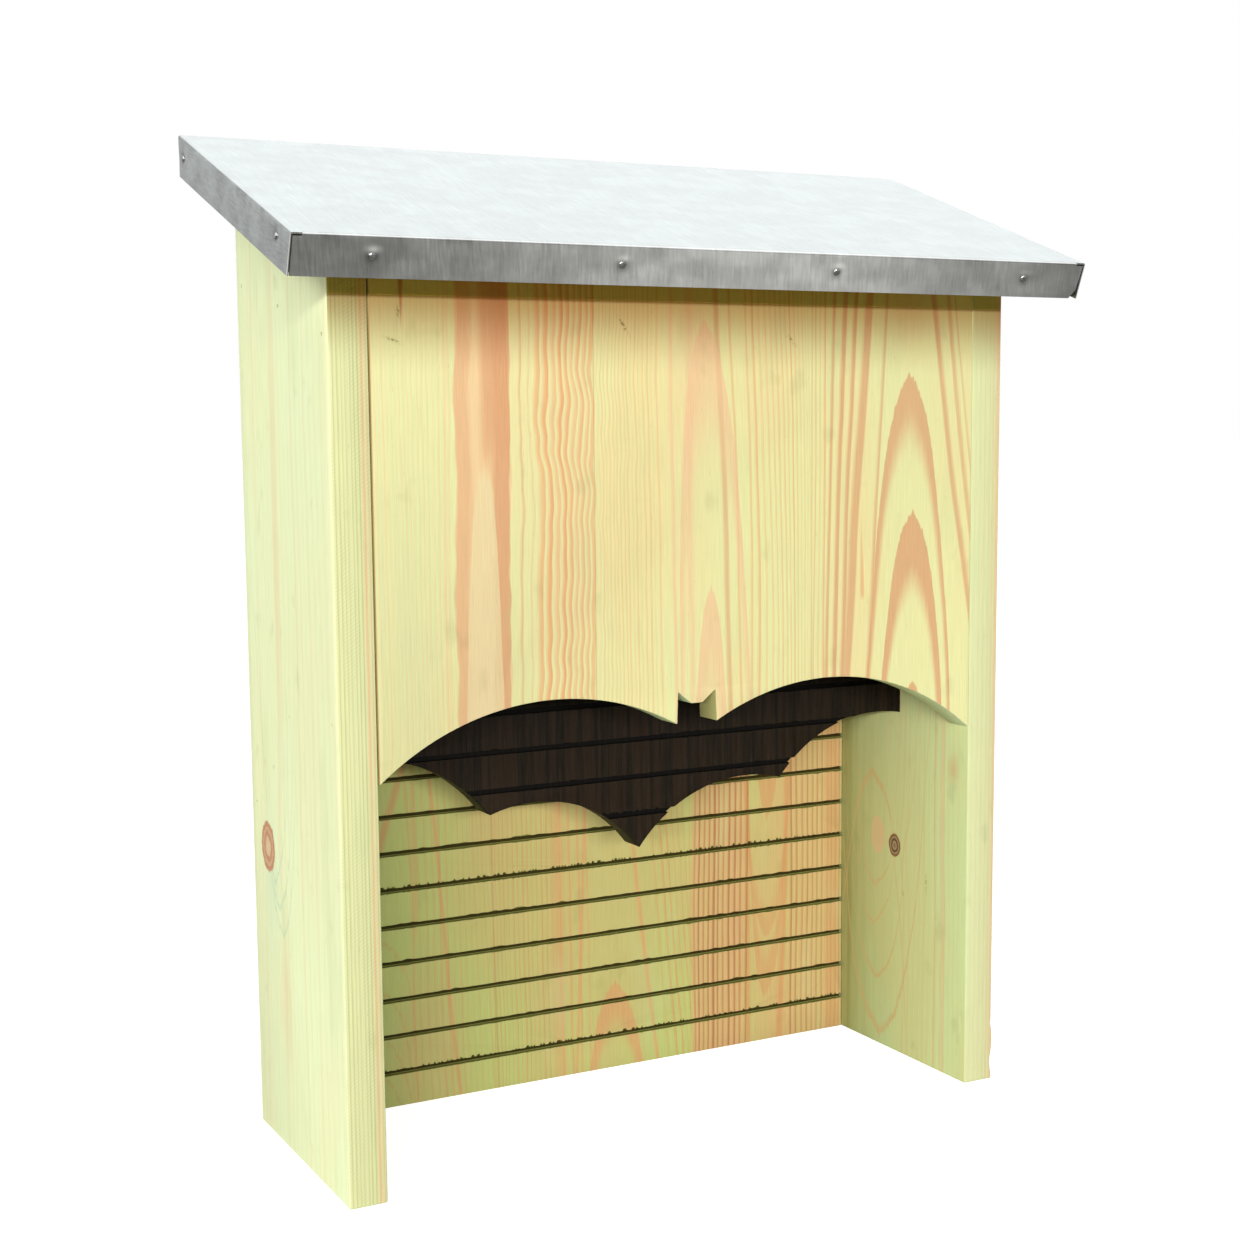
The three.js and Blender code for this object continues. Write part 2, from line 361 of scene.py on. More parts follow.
def striped(across, w, look, field):
    start, end = field["from"], field["to"]
    first, last = field["gap"]
    run = leaned(across, w, start, field.get("lean", 0), look["middle"])
    run = total(run, centred(along(run, 2.6 * max(first, last), start), field.get("uneven", 1.5)))
    if first == last:
        ring = over(run, first)
    else:
        grow = (last - first) / (end - start)
        ring = over(calc("LOGARITHM", calc("MAXIMUM", scaled(run, grow / first, 1), 0.01), math.e), grow)
    number = calc("FLOOR", ring)
    part = calc("FRACT", ring)
    luck = tossed(number, start + look["seed"])
    share = field.get("share", 0.45)
    rising = eased(part, 1 - 1.4 * share, 1 - 0.35 * share)
    falling = inverted(eased(part, 0.92, 1.0))
    soft, wide = grain["fieldEdge"], end - start
    edges = product(eased(run, -soft, soft), inverted(eased(run, wide - soft, wide + soft)))
    chance, amount = field.get("luck", 0.7), field["amount"]
    return product(rising, falling, edges, scaled(luck, chance * amount, (0.8 - chance / 2) * amount))


def banded(place, across, look, band):
    w, half = place[2], band["half"]
    moved = leaned(across, w, band["at"], band.get("lean", 0), look["middle"])
    if "wave" in band:
        size, swing = band["wave"]
        moved = total(moved, centred(along(w, size, band["at"]), swing))
    if "taper" in band:  # how much wider the band gets with each millimetre of height over its tip
        half = calc("MINIMUM", product(minus(w, band["tip"]), band["taper"]), half)
    left, right = band.get("soft", (0.5, 0.5))
    mask = product(eased(total(moved, half), -left, left), inverted(eased(minus(moved, half), -right, right)))
    if "above" in band:
        mask = product(mask, eased(w, *band["above"]))
    return product(mask, band["amount"])


def flamed(place, across, flame):  # a pointed arch, dark at its edge and fading inward
    u, w = flame["tip"]
    below = product(minus(w, place[2]), -1 if flame.get("down") else 1)
    off = minus(across, u)
    if "lean" in flame:
        off = scaled(below, -flame["lean"], off)
    off = product(absolute(off), flame.get("narrow", 1))
    cube = product(off, off, off)
    spread = scaled(cube, grain["flameSpread"], product(off, flame.get("point", 1.15)))
    jagged = centred(cloudy(place, grain["jags"]), flame.get("jag", 7))
    level = total(below, product(spread, -1), jagged)
    inside = eased(level, 0, flame.get("edge", 1.6))
    return product(inside, inverted(eased(level, *flame["fade"])), flame["amount"])


def pineFinish(name, look):
    finish, shader = newFinish(name, 0.6, specular=0.05)
    place = grainPlace(look)
    u, v, w = place
    across = grainAcross(place, look)
    rise = w
    if "straightFrom" in look:  # leaning lines run straight up from this height
        rise = calc("MINIMUM", w, look["straightFrom"])

    patches = eased(cloudy(place, grain["patches"]), 0.38, 0.62)
    colour = tinted(patches, *look["tones"])
    streaks = scaled(cloudy(place, grain["streaks"]), 1.1, 0.45)
    for spot, halves, amount, tone in look.get("blushes", []):
        here = product(spotted(place, spot, halves), streaks, amount)
        colour = tinted(calc("MINIMUM", here, 1), colour, pine[tone])
    for band in look.get("bands", []):
        colour = tinted(banded((u, v, rise), across, look, band), colour, pine[band["tone"]])
    for flame in look.get("flames", []):
        colour = tinted(flamed(place, across, flame), colour, pine[flame["tone"]])
    stripes = 0.0
    for field in look["stripes"]:
        mask = striped(across, rise, look, field)
        colour = tinted(mask, colour, pine[field["tone"]])
        stripes = total(mask, stripes)
    if "edgeGap" in look:  # the rings as the narrow edge of the board shows them
        edgeward = facing(look, 0)
        ends = [look["face"] + side * grain["edgeReach"] for side in (-1, 1)]
        field = stripesFrom(*ends, look["edgeGap"], look["edgeLines"])
        mask = product(striped(v, w, look, field), edgeward)
        colour = tinted(product(edgeward, 0.85), colour, look["edgeTone"])
        colour = tinted(mask, colour, pine[look.get("edgeInk", "late")])
        for at, half, amount, tone in look["edgeBands"]:
            mask = inverted(eased(absolute(minus(v, at)), half - 0.5, half + 0.5))
            colour = tinted(product(mask, edgeward, amount), colour, pine[tone])
    else:
        edgeward = facing(look, 1)
        # cut faces across the board get a darker tone: partly the sawn wood's colour, partly painted shade
        sawn = product(facing(look, 0), look.get("sawnShare", 0.8))
        colour = tinted(sawn, colour, pine["sawn"])
    # dark joint lines; where a joint meets the next board's open seam, this is painted shade
    for line in look.get("joints", []):
        mark = inverted(eased(absolute(minus(u, line)), *grain["glueLine"]))
        colour = tinted(product(mark, 0.45), colour, pine["lateCore"])

    if "ripple" in look:
        ripple = product(planerRipple(place), edgeward)
        colour = shaded(colour, scaled(ripple, -0.07, 1.02))
    fibres = cloudy(place, grain["fibres"], 3)
    colour = shaded(colour, scaled(fibres, 0.3, 0.85))
    ducts = eased(cloudy(place, grain["ducts"], 1), 0.73, 0.8)
    colour = tinted(product(ducts, 0.3), colour, pine["lateCore"])
    smudges = eased(cloudy(place, grain["smudges"]), 0.62, 0.78)
    colour = tinted(product(smudges, grain["smudging"]), colour, pine["scuff"])
    damp = eased(cloudy(place, grain["damp"]), 0.56, 0.74)
    colour = tinted(product(damp, grain["damping"]), colour, pine["damp"])

    for knot in look.get("knots", []):
        colour = knotted(place, colour, knot)
    for spot, halves, slant in look.get("scuffs", []):
        colour = scuffed(place, colour, spot, halves, slant)

    ends = facing(look, 2)
    rough = cloudy(place, grain["sawMarks"])
    endColour = tinted(product(stripes, 0.6), pine["endGrain"], pine["late"])
    endColour = shaded(endColour, scaled(rough, 0.5, 0.75))
    colour = tinted(product(ends, look.get("endShare", 0.8)), colour, endColour)
    if "kerfDepth" in look:
        colour = kerfed(place, colour, look, ends)
    if "eaveShadeRamp" in look:  # painted shade: a darker, warmer tone in the eave's shadow band, and a painted ramp of shade just below it
        shadowBandShade = eased(w, *eaves["shadowBandShade"])
        shadow = eased(w, *eaves["shadow"])
        eaveShadeRamp = product(eased(w, *look["eaveShadeRamp"]), inverted(shadow))
        for amount, tone in ((shadowBandShade, "shadowBandShade"), (eaveShadeRamp, "eaveShadeRamp")):
            amount = product(amount, edgeward)
            if "edgeGap" in look:  # on the front edge only
                amount = product(amount, inverted(eased(u, -10, 10)))
            colour = tinted(amount, colour, pine[tone], "MULTIPLY")
    feed(shader.inputs["Base Color"], colour)

    feed(shader.inputs["Roughness"], scaled(fibres, 0.2, 0.5))
    height = total(product(fibres, 0.5), product(stripes, 0.3), product(rough, scaled(ends, 1.2, 0.15)))
    if "ripple" in look:
        height = total(height, product(ripple, look["ripple"]))
    raised(shader, height, 0.16)
    return finish


def planerRipple(place):  # slanting ridges left by the planer
    wobble = cloudy(place, (5, 5, 9), 1)
    run = total(product(place[2], 3.6), product(place[1], 2.2), product(wobble, 5))
    ridges = scaled(calc("SINE", run), 0.5, 0.5)
    return product(ridges, eased(cloudy(place, (9, 9, 70), 1), 0.35, 0.6))


def kerfed(place, colour, look, ends):  # inside the kerfs: painted shade, darkest at the back and top of each kerf, with lit sawn green wood on its lower floor
    u, v, w = place
    deep, depth, pitch = minus(v, look["face"]), look["kerfDepth"], kerfs["pitch"]
    inside = product(
        eased(deep, 0.05, 0.25), inverted(eased(deep, depth + 0.1, depth + 0.6)), eased(w, 3, 5)
    )
    turns = over(minus(w, kerfs["first"] - pitch / 2), pitch)
    above = scaled(calc("FRACT", turns), pitch, -pitch / 2)  # the middle of the nearest kerf
    # painted shade and light: the upper part of each kerf dark, its lower floor lit
    dim = eased(above, -kerfs["width"] / 2 - 0.2, -0.55)
    lit = inverted(product(dim, inverted(ends)))
    sawn = tinted(lit, pine["kerfShade"], pine["kerfFloor"])
    return tinted(product(inside, look["kerfShare"]), colour, sawn)


def knotted(place, colour, knot):
    edge = cloudy(place, (4, 4, 4))
    square = ovalSquare(place, knot["spot"], knot["halves"])
    reach = scaled(edge, 0.3, minus(calc("SQRT", square), 0.15))
    inside = inverted(eased(reach, 0.92, 1.04))
    rings = eased(calc("FRACT", product(reach, knot["rings"])), 0.3, 0.95)
    middle = inverted(eased(reach, 0.1, 0.5))
    body = tinted(product(rings, 0.5), knot["colour"], pine["knotPale"])
    body = tinted(product(middle, knot["pale"]), body, pine["knotPale"])
    body = tinted(product(eased(reach, 0.78, 0.95), knot["rim"]), body, pine["lateCore"])
    return tinted(inside, colour, body)


def scuffed(place, colour, spot, halves, slant):
    du = minus(place[0], spot[0])
    dw = minus(place[2], spot[1])
    run = scaled(dw, math.sin(slant), product(du, math.cos(slant)))
    off = scaled(dw, math.cos(slant), product(du, -math.sin(slant)))
    mark = faded(roundSquare(over(run, halves[0]), over(off, halves[1])))
    broken = eased(cloudy(place, (1.2, 1.2, 1.2)), 0.4, 0.6)
    return tinted(product(mark, broken, 0.85), colour, pine["scuff"])


# Stained pine for the roost board

stain = {
    "black": (0.0048, 0.0036, 0.0022),
    "brown": (0.021, 0.0115, 0.0062),
    "wearAndShade": (0.024, 0.019, 0.0135),
    # painted shade inside the kerfs
    "kerfShade": (0.0012, 0.001, 0.0007),
    "cut": (0.03, 0.034, 0.012),
    "streaks": (3, 3, 90),
    "fibres": (0.45, 0.45, 18),
    # painted shade: the stain is darker higher up, where less light reaches the roost board
    "shadedHeights": (130, 235),  # the stain gets darker between these heights
}


def stainedFinish(name, look):
    finish, shader = newFinish(name, 0.55, specular=0.09)
    place = grainPlace(look)
    across = grainAcross(place, look)
    strength = striped(across, place[2], look, look["stripes"][0])
    streaks = eased(cloudy(place, stain["streaks"], 3), 0.42, 0.62)
    colour = tinted(product(streaks, 0.45), stain["black"], stain["brown"])
    colour = tinted(product(strength, 0.22), colour, stain["brown"])
    fibres = cloudy(place, stain["fibres"], 3)
    colour = tinted(product(eased(fibres, 0.52, 0.75), 0.5), colour, stain["wearAndShade"])
    # painted shade: darker toward the top of the board, lighter low down
    wearAndShade = scaled(eased(place[2], *stain["shadedHeights"]), -0.55, 1.4)
    colour = shaded(colour, wearAndShade)
    ends = facing(look, 2)
    colour = tinted(product(ends, 0.6), colour, stain["cut"])
    # painted shade deep inside the kerfs
    deep = minus(place[1], look["face"])
    inside = inverted(eased(deep, 2.6, 3.1))
    colour = tinted(product(eased(deep, 0.1, 0.6), inside, 0.95), colour, stain["kerfShade"])
    feed(shader.inputs["Base Color"], colour)
    feed(shader.inputs["Roughness"], scaled(fibres, 0.3, 0.42))
    height = total(product(fibres, 0.7), product(strength, 0.5))
    raised(shader, height, 0.2)
    return finish


# Galvanised sheet, brushed up the slope and down the flaps

zinc = {
    # top, side and front are painted light and shade: the same sheet lighter on top and darker on the flaps,
    # as the light falls
    "top": (0.595, 0.64, 0.64),
    "side": (0.262, 0.276, 0.271),
    "front": (0.53, 0.54, 0.535),
    # crease: a painted highlight on the bends and on the cut ends of the side flaps
    "crease": (0.93, 0.96, 0.95),
    "ends": (205.6, 205.8),  # past here the cut ends of the side flaps get a painted highlight
    "brushing": (1.0, 11, 11),  # sizes of its marks across, up and through
    "sideBrushing": (1, 1.1, 6),
    "grease": (19, 12, 13),
    "brushLean": 0.18,
    "topStreaks": 0.17,
    "frontStreaks": 0.16,
    "sideStreaks": 0.24,
    "under": 0.45,  # how dark the painted shade is just below the painted bright crease
    # painted shade round each nail, and painted highlights above the front nails
    "haloSize": 2.7,
    "haloDim": 0.75,
    "flareRise": 2.7,  # a painted highlight this far above each front nail stands for its hollow catching the light
    "flareHalves": (2.9, 1.6),
    "flares": (1.9, 0.8, 0.7, 0.6),
    "glow": 0.90,  # painted reflection: the front flap is painted brightest near its middle
    "dim": 0.62,
    "glowSpot": (25, 75),
    "glowHalves": (150, 90),
}


def zincFinish(name, slope):
    finish, shader = newFinish(name, 0.42, metallic=0.85)
    place = grainPlace({"turn": (-slope, 0, 0), "axes": "XZY"})
    split = added("SeparateXYZ")
    feed(split.inputs[0], added("NewGeometry").outputs["Normal"])
    rise = split.outputs["Z"]
    upright = eased(rise, 0.55, 0.9)
    sideways = eased(absolute(split.outputs["X"]), 0.4, 0.8)
    level = inverted(eased(absolute(split.outputs["X"]), 0.2, 0.5))
    # painted highlight along the bend, and painted shade just below it
    foldHighlight = product(eased(rise, 0.15, 0.4), level)
    foldHighlight = product(foldHighlight, inverted(eased(rise, 0.62, 0.82)))
    under = product(eased(rise, -0.33, -0.1), level)
    under = product(under, inverted(eased(rise, 0.0, 0.25)))
    # painted light and shade by facing: the top, front and side tones
    colour = tinted(upright, zinc["front"], zinc["top"])
    colour = tinted(sideways, colour, zinc["side"])
    slanted = scaled(place[1], zinc["brushLean"], place[0])
    brushing = eased(cloudy((slanted, place[1], place[2]), zinc["brushing"], 3), 0.24, 0.76)
    sideBrushing = eased(cloudy(place, zinc["sideBrushing"], 3), 0.3, 0.7)
    grease = eased(cloudy(place, zinc["grease"], 3), 0.32, 0.68)
    streaky = scaled(upright, zinc["topStreaks"] - zinc["frontStreaks"], zinc["frontStreaks"])
    tone = total(
        product(centred(brushing), streaky, inverted(sideways)),
        product(centred(sideBrushing), zinc["sideStreaks"], sideways),
        product(centred(grease), scaled(sideways, 0.2, 0.16)),
        1.0,
    )
    # painted reflection: the front flap is brighter near its middle and darker towards its ends
    glow = spotted(place, zinc["glowSpot"], zinc["glowHalves"])
    flat = total(1, product(upright, -1), product(sideways, -1))
    lit = scaled(glow, zinc["glow"], -zinc["dim"])
    tone = product(tone, scaled(calc("MAXIMUM", flat, 0), lit, 1))
    tone = product(tone, scaled(under, -zinc["under"], 1))
    tone = product(tone, paintedNailShading(place, slope))
    colour = shaded(colour, tone)
    # painted highlight on the bend and on the flaps' cut ends
    colour = tinted(product(foldHighlight, 0.9), colour, zinc["crease"])
    end = eased(absolute(place[0]), *zinc["ends"])
    end = product(end, inverted(sideways), inverted(upright))
    colour = tinted(end, colour, zinc["crease"])
    feed(shader.inputs["Base Color"], colour)
    rough = total(product(brushing, 0.12), product(grease, 0.12), 0.26)
    feed(shader.inputs["Roughness"], rough)
    raised(shader, brushing, 0.04, 0.4)
    return finish


def paintedNailShading(place, slope):  # painted shade: a dark ring round each nail, and a painted highlight above the front ones
    corner = Matrix.Rotation(-slope, 3, "X") @ crease
    tone = 1.0
    for index, (name, spot, inward) in enumerate(flapNailSpots()):
        x, y, z = corner + spot
        away = [minus(value, at) for value, at in zip(place, (x, z, y))]
        square = total(*[product(off, off) for off in away])
        shadeRing = calc("EXPONENT", over(square, -zinc["haloSize"] ** 2))
        tone = scaled(shadeRing, -zinc["haloDim"], tone)
        if name.startswith("front"):
            above = (x, z + zinc["flareRise"])
            flare = spotted((place[0], 0, place[1]), above, zinc["flareHalves"])
            tone = scaled(flare, zinc["flares"][index], tone)
    return tone


# Nail steel, dulled in spots

steel = {
    "dark": (0.10, 0.10, 0.105),
    "bright": (0.44, 0.44, 0.45),
    "spots": (1.1, 1.1, 1.1),
}


def nailFinish(name):
    finish, shader = newFinish(name, 0.3, metallic=1.0)
    place = grainPlace({})
    dull = cloudy(place, steel["spots"], 3)
    feed(shader.inputs["Base Color"], tinted(dull, steel["dark"], steel["bright"]))
    feed(shader.inputs["Roughness"], scaled(dull, 0.3, 0.1))
    raised(shader, dull, 0.12, 0.5)
    return finish


# Stage: a pale floor, a white surround, four soft suns and a long low softbox

stage = {
    "floorSize": 60000,
    "floorColour": (0.60, 0.60, 0.59),
    "floorLift": 0.86,  # light that only the camera sees, so the floor meets the white surround
    "surround": 1.0,
    "ambient": 0.12,
    "ambientColour": (1, 0.93, 0.78),
}
suns = {
    "leftFill": {"azimuth": -98, "elevation": 14, "power": 1.95, "size": 60, "colour": (0.95, 1.0, 1.0)},
    "backFill": {"azimuth": 150, "elevation": 40, "power": 0.3, "size": 60, "colour": (0.97, 1.0, 1.0)},
    "rightFill": {"azimuth": 93, "elevation": 2, "power": 1.1, "size": 10, "colour": (1.0, 1.0, 0.98)},
    "rearFill": {"azimuth": 166, "elevation": 2, "power": 1.1, "size": 10, "colour": (1.0, 1.0, 0.98)},
}
strip = {  # the softbox, whose shadows end level along the front
    "spot": (-8600, -12000, 2792),
    "size": (16000, 1000),
    "power": 3600,
    "colour": (1.0, 0.985, 0.95),
}


def byRay(kind, first, second):
    node = added("MixShader")
    rays = added("LightPath")
    feed(node.inputs[0], rays.outputs[kind])
    feed(node.inputs[1], first)
    feed(node.inputs[2], second)
    return node.outputs[0]


def makeSurround():
    world = bpy.data.worlds.new("surround")
    bpy.context.scene.world = world
    startTree(world)
    tree.nodes.clear()
    levels = []
    for level, colour in ((stage["surround"], (1, 1, 1)), (stage["ambient"], stage["ambientColour"])):
        background = added("Background")
        feed(background.inputs["Color"], colour)
        background.inputs["Strength"].default_value = level
        levels.append(background.outputs[0])
    output = added("OutputWorld")
    feed(output.inputs[0], byRay("Is Diffuse Ray", *levels))


def makeFloor():
    bpy.ops.object.select_all(action="DESELECT")
    bpy.ops.mesh.primitive_plane_add(size=stage["floorSize"] * mm)
    floor = bpy.context.object
    floor.name = "floor"
    finish = bpy.data.materials.new("paleFloor")
    startTree(finish)
    tree.nodes.clear()
    plain = added("BsdfDiffuse")
    feed(plain.inputs["Color"], stage["floorColour"])
    glow = added("Emission")
    glow.inputs["Strength"].default_value = stage["floorLift"]
    lifted = added("AddShader")
    feed(lifted.inputs[0], plain.outputs[0])
    feed(lifted.inputs[1], glow.outputs[0])
    output = added("OutputMaterial")
    feed(output.inputs[0], byRay("Is Camera Ray", plain.outputs[0], lifted.outputs[0]))
    floor.data.materials.append(finish)


def makeLights():
    for name, light in suns.items():
        bpy.ops.object.light_add(type="SUN")
        lamp = bpy.context.object
        lamp.name = name
        azimuth, elevation = math.radians(light["azimuth"]), math.radians(light["elevation"])
        toLamp = Vector((math.sin(azimuth), -math.cos(azimuth), math.tan(elevation)))
        lamp.rotation_euler = toLamp.to_track_quat("Z", "Y").to_euler()
        lamp.data.energy = light["power"]
        lamp.data.angle = math.radians(light["size"])
        lamp.data.color = light["colour"]
    bpy.ops.object.light_add(type="AREA", location=Vector(strip["spot"]) * mm)
    lamp = bpy.context.object
    lamp.name = "strip"
    lamp.rotation_euler = (math.pi / 2, 0, 0)
    lamp.data.shape = "RECTANGLE"
    lamp.data.size, lamp.data.size_y = [side * mm for side in strip["size"]]
    lamp.data.energy = strip["power"]
    lamp.data.color = strip["colour"]


makeSurround()
makeFloor()
makeLights()
bpy.context.scene.view_settings.view_transform = "Standard"
print("stage set")


# Modelling helpers

rodSides = 24


def startEditing():
    bpy.ops.object.mode_set(mode="EDIT")


def stopEditing():
    bpy.ops.object.mode_set(mode="OBJECT")


def pickAlone(*pieces):  # the first becomes the active one
    bpy.ops.object.select_all(action="DESELECT")
    for piece in pieces:
        piece.select_set(True)
    bpy.context.view_layer.objects.active = pieces[0]


def named(name):
    piece = bpy.context.object
    piece.name = piece.data.name = name
    return piece


def addBlock(name, low, high):
    low, high = Vector(low) * mm, Vector(high) * mm
    bpy.ops.object.select_all(action="DESELECT")
    bpy.ops.mesh.primitive_cube_add(size=1, location=(low + high) / 2, scale=high - low)
    bpy.ops.object.transform_apply()
    return named(name)


def pick(piece, parts, test):  # in edit mode, selects the faces, edges or verts that pass the test
    shape = bmesh.from_edit_mesh(piece.data)
    bpy.ops.mesh.select_mode(type={"faces": "FACE", "edges": "EDGE", "verts": "VERT"}[parts])
    bpy.ops.mesh.select_all(action="DESELECT")
    for part in getattr(shape, parts):
        if test(part):
            part.select_set(True)
    bmesh.update_edit_mesh(piece.data)


def cutAway(piece, spot, direction):  # removes what lies on the side the direction points to
    startEditing()
    bpy.ops.mesh.select_all(action="SELECT")
    bpy.ops.mesh.bisect(plane_co=spot, plane_no=direction, use_fill=True, clear_outer=True)
    stopEditing()


def drawnOut(x, y, z):  # extrudes what is picked, in millimetres
    bpy.ops.mesh.extrude_region_move(TRANSFORM_OT_translate={"value": Vector((x, y, z)) * mm})


def applied(piece, kind, **settings):
    bpy.context.view_layer.objects.active = piece
    modifier = piece.modifiers.new(kind.lower(), kind)
    for key, value in settings.items():
        setattr(modifier, key, value)
    bpy.ops.object.modifier_apply(modifier=modifier.name)


def easeEdges(piece, width, segments=2):
    applied(piece, "BEVEL", width=width * mm, segments=segments, limit_method="ANGLE")


def carved(piece, cutter):
    applied(piece, "BOOLEAN", operation="DIFFERENCE", object=cutter, solver="EXACT")
    bpy.data.objects.remove(cutter)


def addRod(name, spot, turn, radius, length, sides=rodSides):
    bpy.ops.object.select_all(action="DESELECT")
    bpy.ops.mesh.primitive_cylinder_add(
        vertices=sides, radius=radius * mm, depth=length * mm, location=Vector(spot) * mm, rotation=turn
    )
    bpy.ops.object.transform_apply()
    return named(name)


def nodeBox(name):  # a node's corners in millimetres
    low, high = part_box(name)
    return low / mm, high / mm


def finished(piece, finish, slot, *nodes, angle=30):
    piece.data.materials.clear()
    piece.data.materials.append(finish)
    pickAlone(piece)
    bpy.ops.object.shade_smooth_by_angle(angle=math.radians(angle))
    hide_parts(*nodes)
    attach(piece, "root")
    print("made", piece.name, len(piece.data.polygons), "faces")


# The roof's slope follows from the boards it sits on

sideLow, sideHigh = nodeBox("left_side")
frontLow, frontHigh = nodeBox("front_panel")
roofSlope = math.atan2(sideHigh.z - frontHigh.z, sideHigh.y - frontHigh.y)
roofUp = Vector((0, -math.sin(roofSlope), math.cos(roofSlope)))
seat = Vector((0, sideHigh.y, sideHigh.z)) * mm  # a point on the boards' sloping tops


# Side boards

sideBoards = {
    "ease": 0.7,
    "pitRadius": 1.0,
    "pitDepth": 0.5,
    "wornTop": 36,  # the front corner of the right board is uneven up to here
    "wornStep": 3,
    "wornDips": [(31, 2.6, 0.9), (9, 5, 1.1), (20, 2.2, -0.3)],  # height, half length, depth
    "wornRest": 0.35,
    "near": 0.1,  # a point this near to the corner belongs to it
}
sideTurn = (0, 0, -math.pi / 2)  # so that u runs from the front edge to the back
leftLook = {
    "turn": sideTurn,
    "face": 180,
    "middle": 230,
    "seed": 3.7,
    "ripple": 0.3,
    "edgeInk": "oliveLinesAndShade",
    "edgeGap": (1.9, 1.9),
    "edgeLines": 0.42,
    "edgeTone": (0.53, 0.545, 0.29),
    "edgeBands": [(165.4, 0.6, 0.6, "pink"), (163.6, 0.5, 0.3, "pink")],
    # heights of the painted ramp of shade under the eave
    "eaveShadeRamp": (371, 408),
    "tones": ((0.64, 0.70, 0.44), (0.65, 0.675, 0.415)),
    "stripes": [
        stripesFrom(-50, 40, (7.5, 5.5), 0.16, "pink", share=0.3),
        stripesFrom(40, 90, (5, 4), 0.13, "pink", share=0.4),
    ],
    "pushes": [((56, 146), (15, 40), -13)],
    "bands": [
        bandAt(33, 2, 0.22, "peach", lean=-0.012, soft=(3, 3)),
        bandAt(62, 0.5, 0.25, "pink", lean=-0.02, soft=(0.8, 0.8)),
        bandAt(5, 0.5, 0.2, "pink", soft=(0.7, 0.7)),
        bandAt(-14, 0.4, 0.25, "pink", soft=(0.7, 0.7)),
    ],
    "flames": [
        flameAt((35, 103), (1, 5), 0.7, "teal", down=True, narrow=0.8),
        flameAt((38, 116), (1, 4), 0.85, "teal", down=True, narrow=0.8),
        flameAt((42, 127), (1, 4), 0.85, "teal", down=True, narrow=0.9),
        flameAt((58, 190), (1, 5), 0.2, "peachDark", narrow=0.9),
    ],
    "blushes": [
        ((31, 300), (4, 90), 0.3, "peach"),
        ((33, 75), (6, 26), 0.3, "peach"),
        ((52, 128), (12, 30), 0.35, "teal"),
    ],
    "knots": [
        knotAt((56.3, 144.8), (10.3, 12.6), pine["knotRed"], rings=2.6, pale=0.85, rim=0.3),
    ],
    "scuffs": [((44, 186), (1.1, 0.8), 0.4)],
}
rightLook = {
    "turn": sideTurn,
    "face": -162,
    "middle": 110,
    "seed": 8.2,
    "edgeGap": (2.9, 2.9),
    "edgeLines": 0.22,
    "edgeTone": (0.52, 0.55, 0.315),
    "edgeBands": [(-178.6, 1.3, 0.5, "pink"), (-175.6, 0.5, 0.3, "pink")],
    # heights of the painted ramp of shade under the eave
    "eaveShadeRamp": (365, 405),
    "tones": ((0.54, 0.63, 0.31), (0.56, 0.585, 0.275)),
    "waviness": 1.2,
    "pushes": [((14.3, 117), (10, 26), -9)],
    "stripes": [
        stripesFrom(-45, -20, (4.5, 3.2), 0.16, share=0.4),
        stripesFrom(-20, 9, (4.8, 4.2), 0.24, share=0.3),
        stripesFrom(56, 64, (3.4, 3.4), 0.3, share=0.4),
    ],
    "bands": [
        bandAt(-28, 1.9, 0.45, "peach", soft=(1, 1)),
        bandAt(-21.2, 0.45, 0.6, soft=(0.4, 0.4)),
        bandAt(15, 0.7, 0.5, "peach", lean=-0.05, above=(150, 190)),
        bandAt(24, 0.6, 0.4, "peach", lean=-0.04, above=(150, 190)),
        bandAt(49, 0.5, 0.35, "peach", lean=-0.01, above=(80, 100)),
    ],
    "flames": [
        flameAt((36, 157), (2.5, 7), 0.7, "tan", narrow=0.75),
        flameAt((33, 88), (1.4, 4), 0.75, "tan", down=True, narrow=0.9),
        flameAt((34, 66), (1.2, 4), 0.7, "tan", down=True, narrow=0.8),
        flameAt((31, 36), (1.6, 5), 0.7, "tan", down=True, narrow=0.7),
        flameAt((28, 4.5), (2.5, 8), 0.7, "tan", down=True, narrow=0.62),
    ],
    "blushes": [
        # painted shade: the right board darkens toward the back
        ((80, 110), (42, 400), 0.95, "oliveLinesAndShade"),
        ((-36, 166), (4, 7), 0.5, "peachDark"),
    ],
    "knots": [
        knotAt((29.5, 119), (6.4, 10.6), (0.62, 0.47, 0.235)),
        knotAt((14.3, 115.8), (5.4, 6.8), (0.13, 0.075, 0.03), rings=2.6, pale=0.22, rim=0.5),
    ],
    "scuffs": [((6.3, 90.3), (1.3, 0.7), 0.9), ((-14, 100), (0.5, 5), 0)],
}


def wearEdge(board, corner):
    startEditing()
    for z in range(sideBoards["wornStep"], sideBoards["wornTop"], sideBoards["wornStep"]):
        bpy.ops.mesh.select_all(action="SELECT")
        bpy.ops.mesh.bisect(plane_co=(0, 0, z * mm), plane_no=(0, 0, 1))
    shape = bmesh.from_edit_mesh(board.data)
    for vert in shape.verts:
        spot = vert.co / mm
        if (spot - corner).xy.length < sideBoards["near"] and spot.z < sideBoards["wornTop"]:
            wearAndShade = sideBoards["wornRest"]
            for height, half, depth in sideBoards["wornDips"]:
                wearAndShade += depth * math.exp(-(((spot.z - height) / half) ** 2))
            vert.co.x -= wearAndShade * mm
    bmesh.update_edit_mesh(board.data)
    stopEditing()


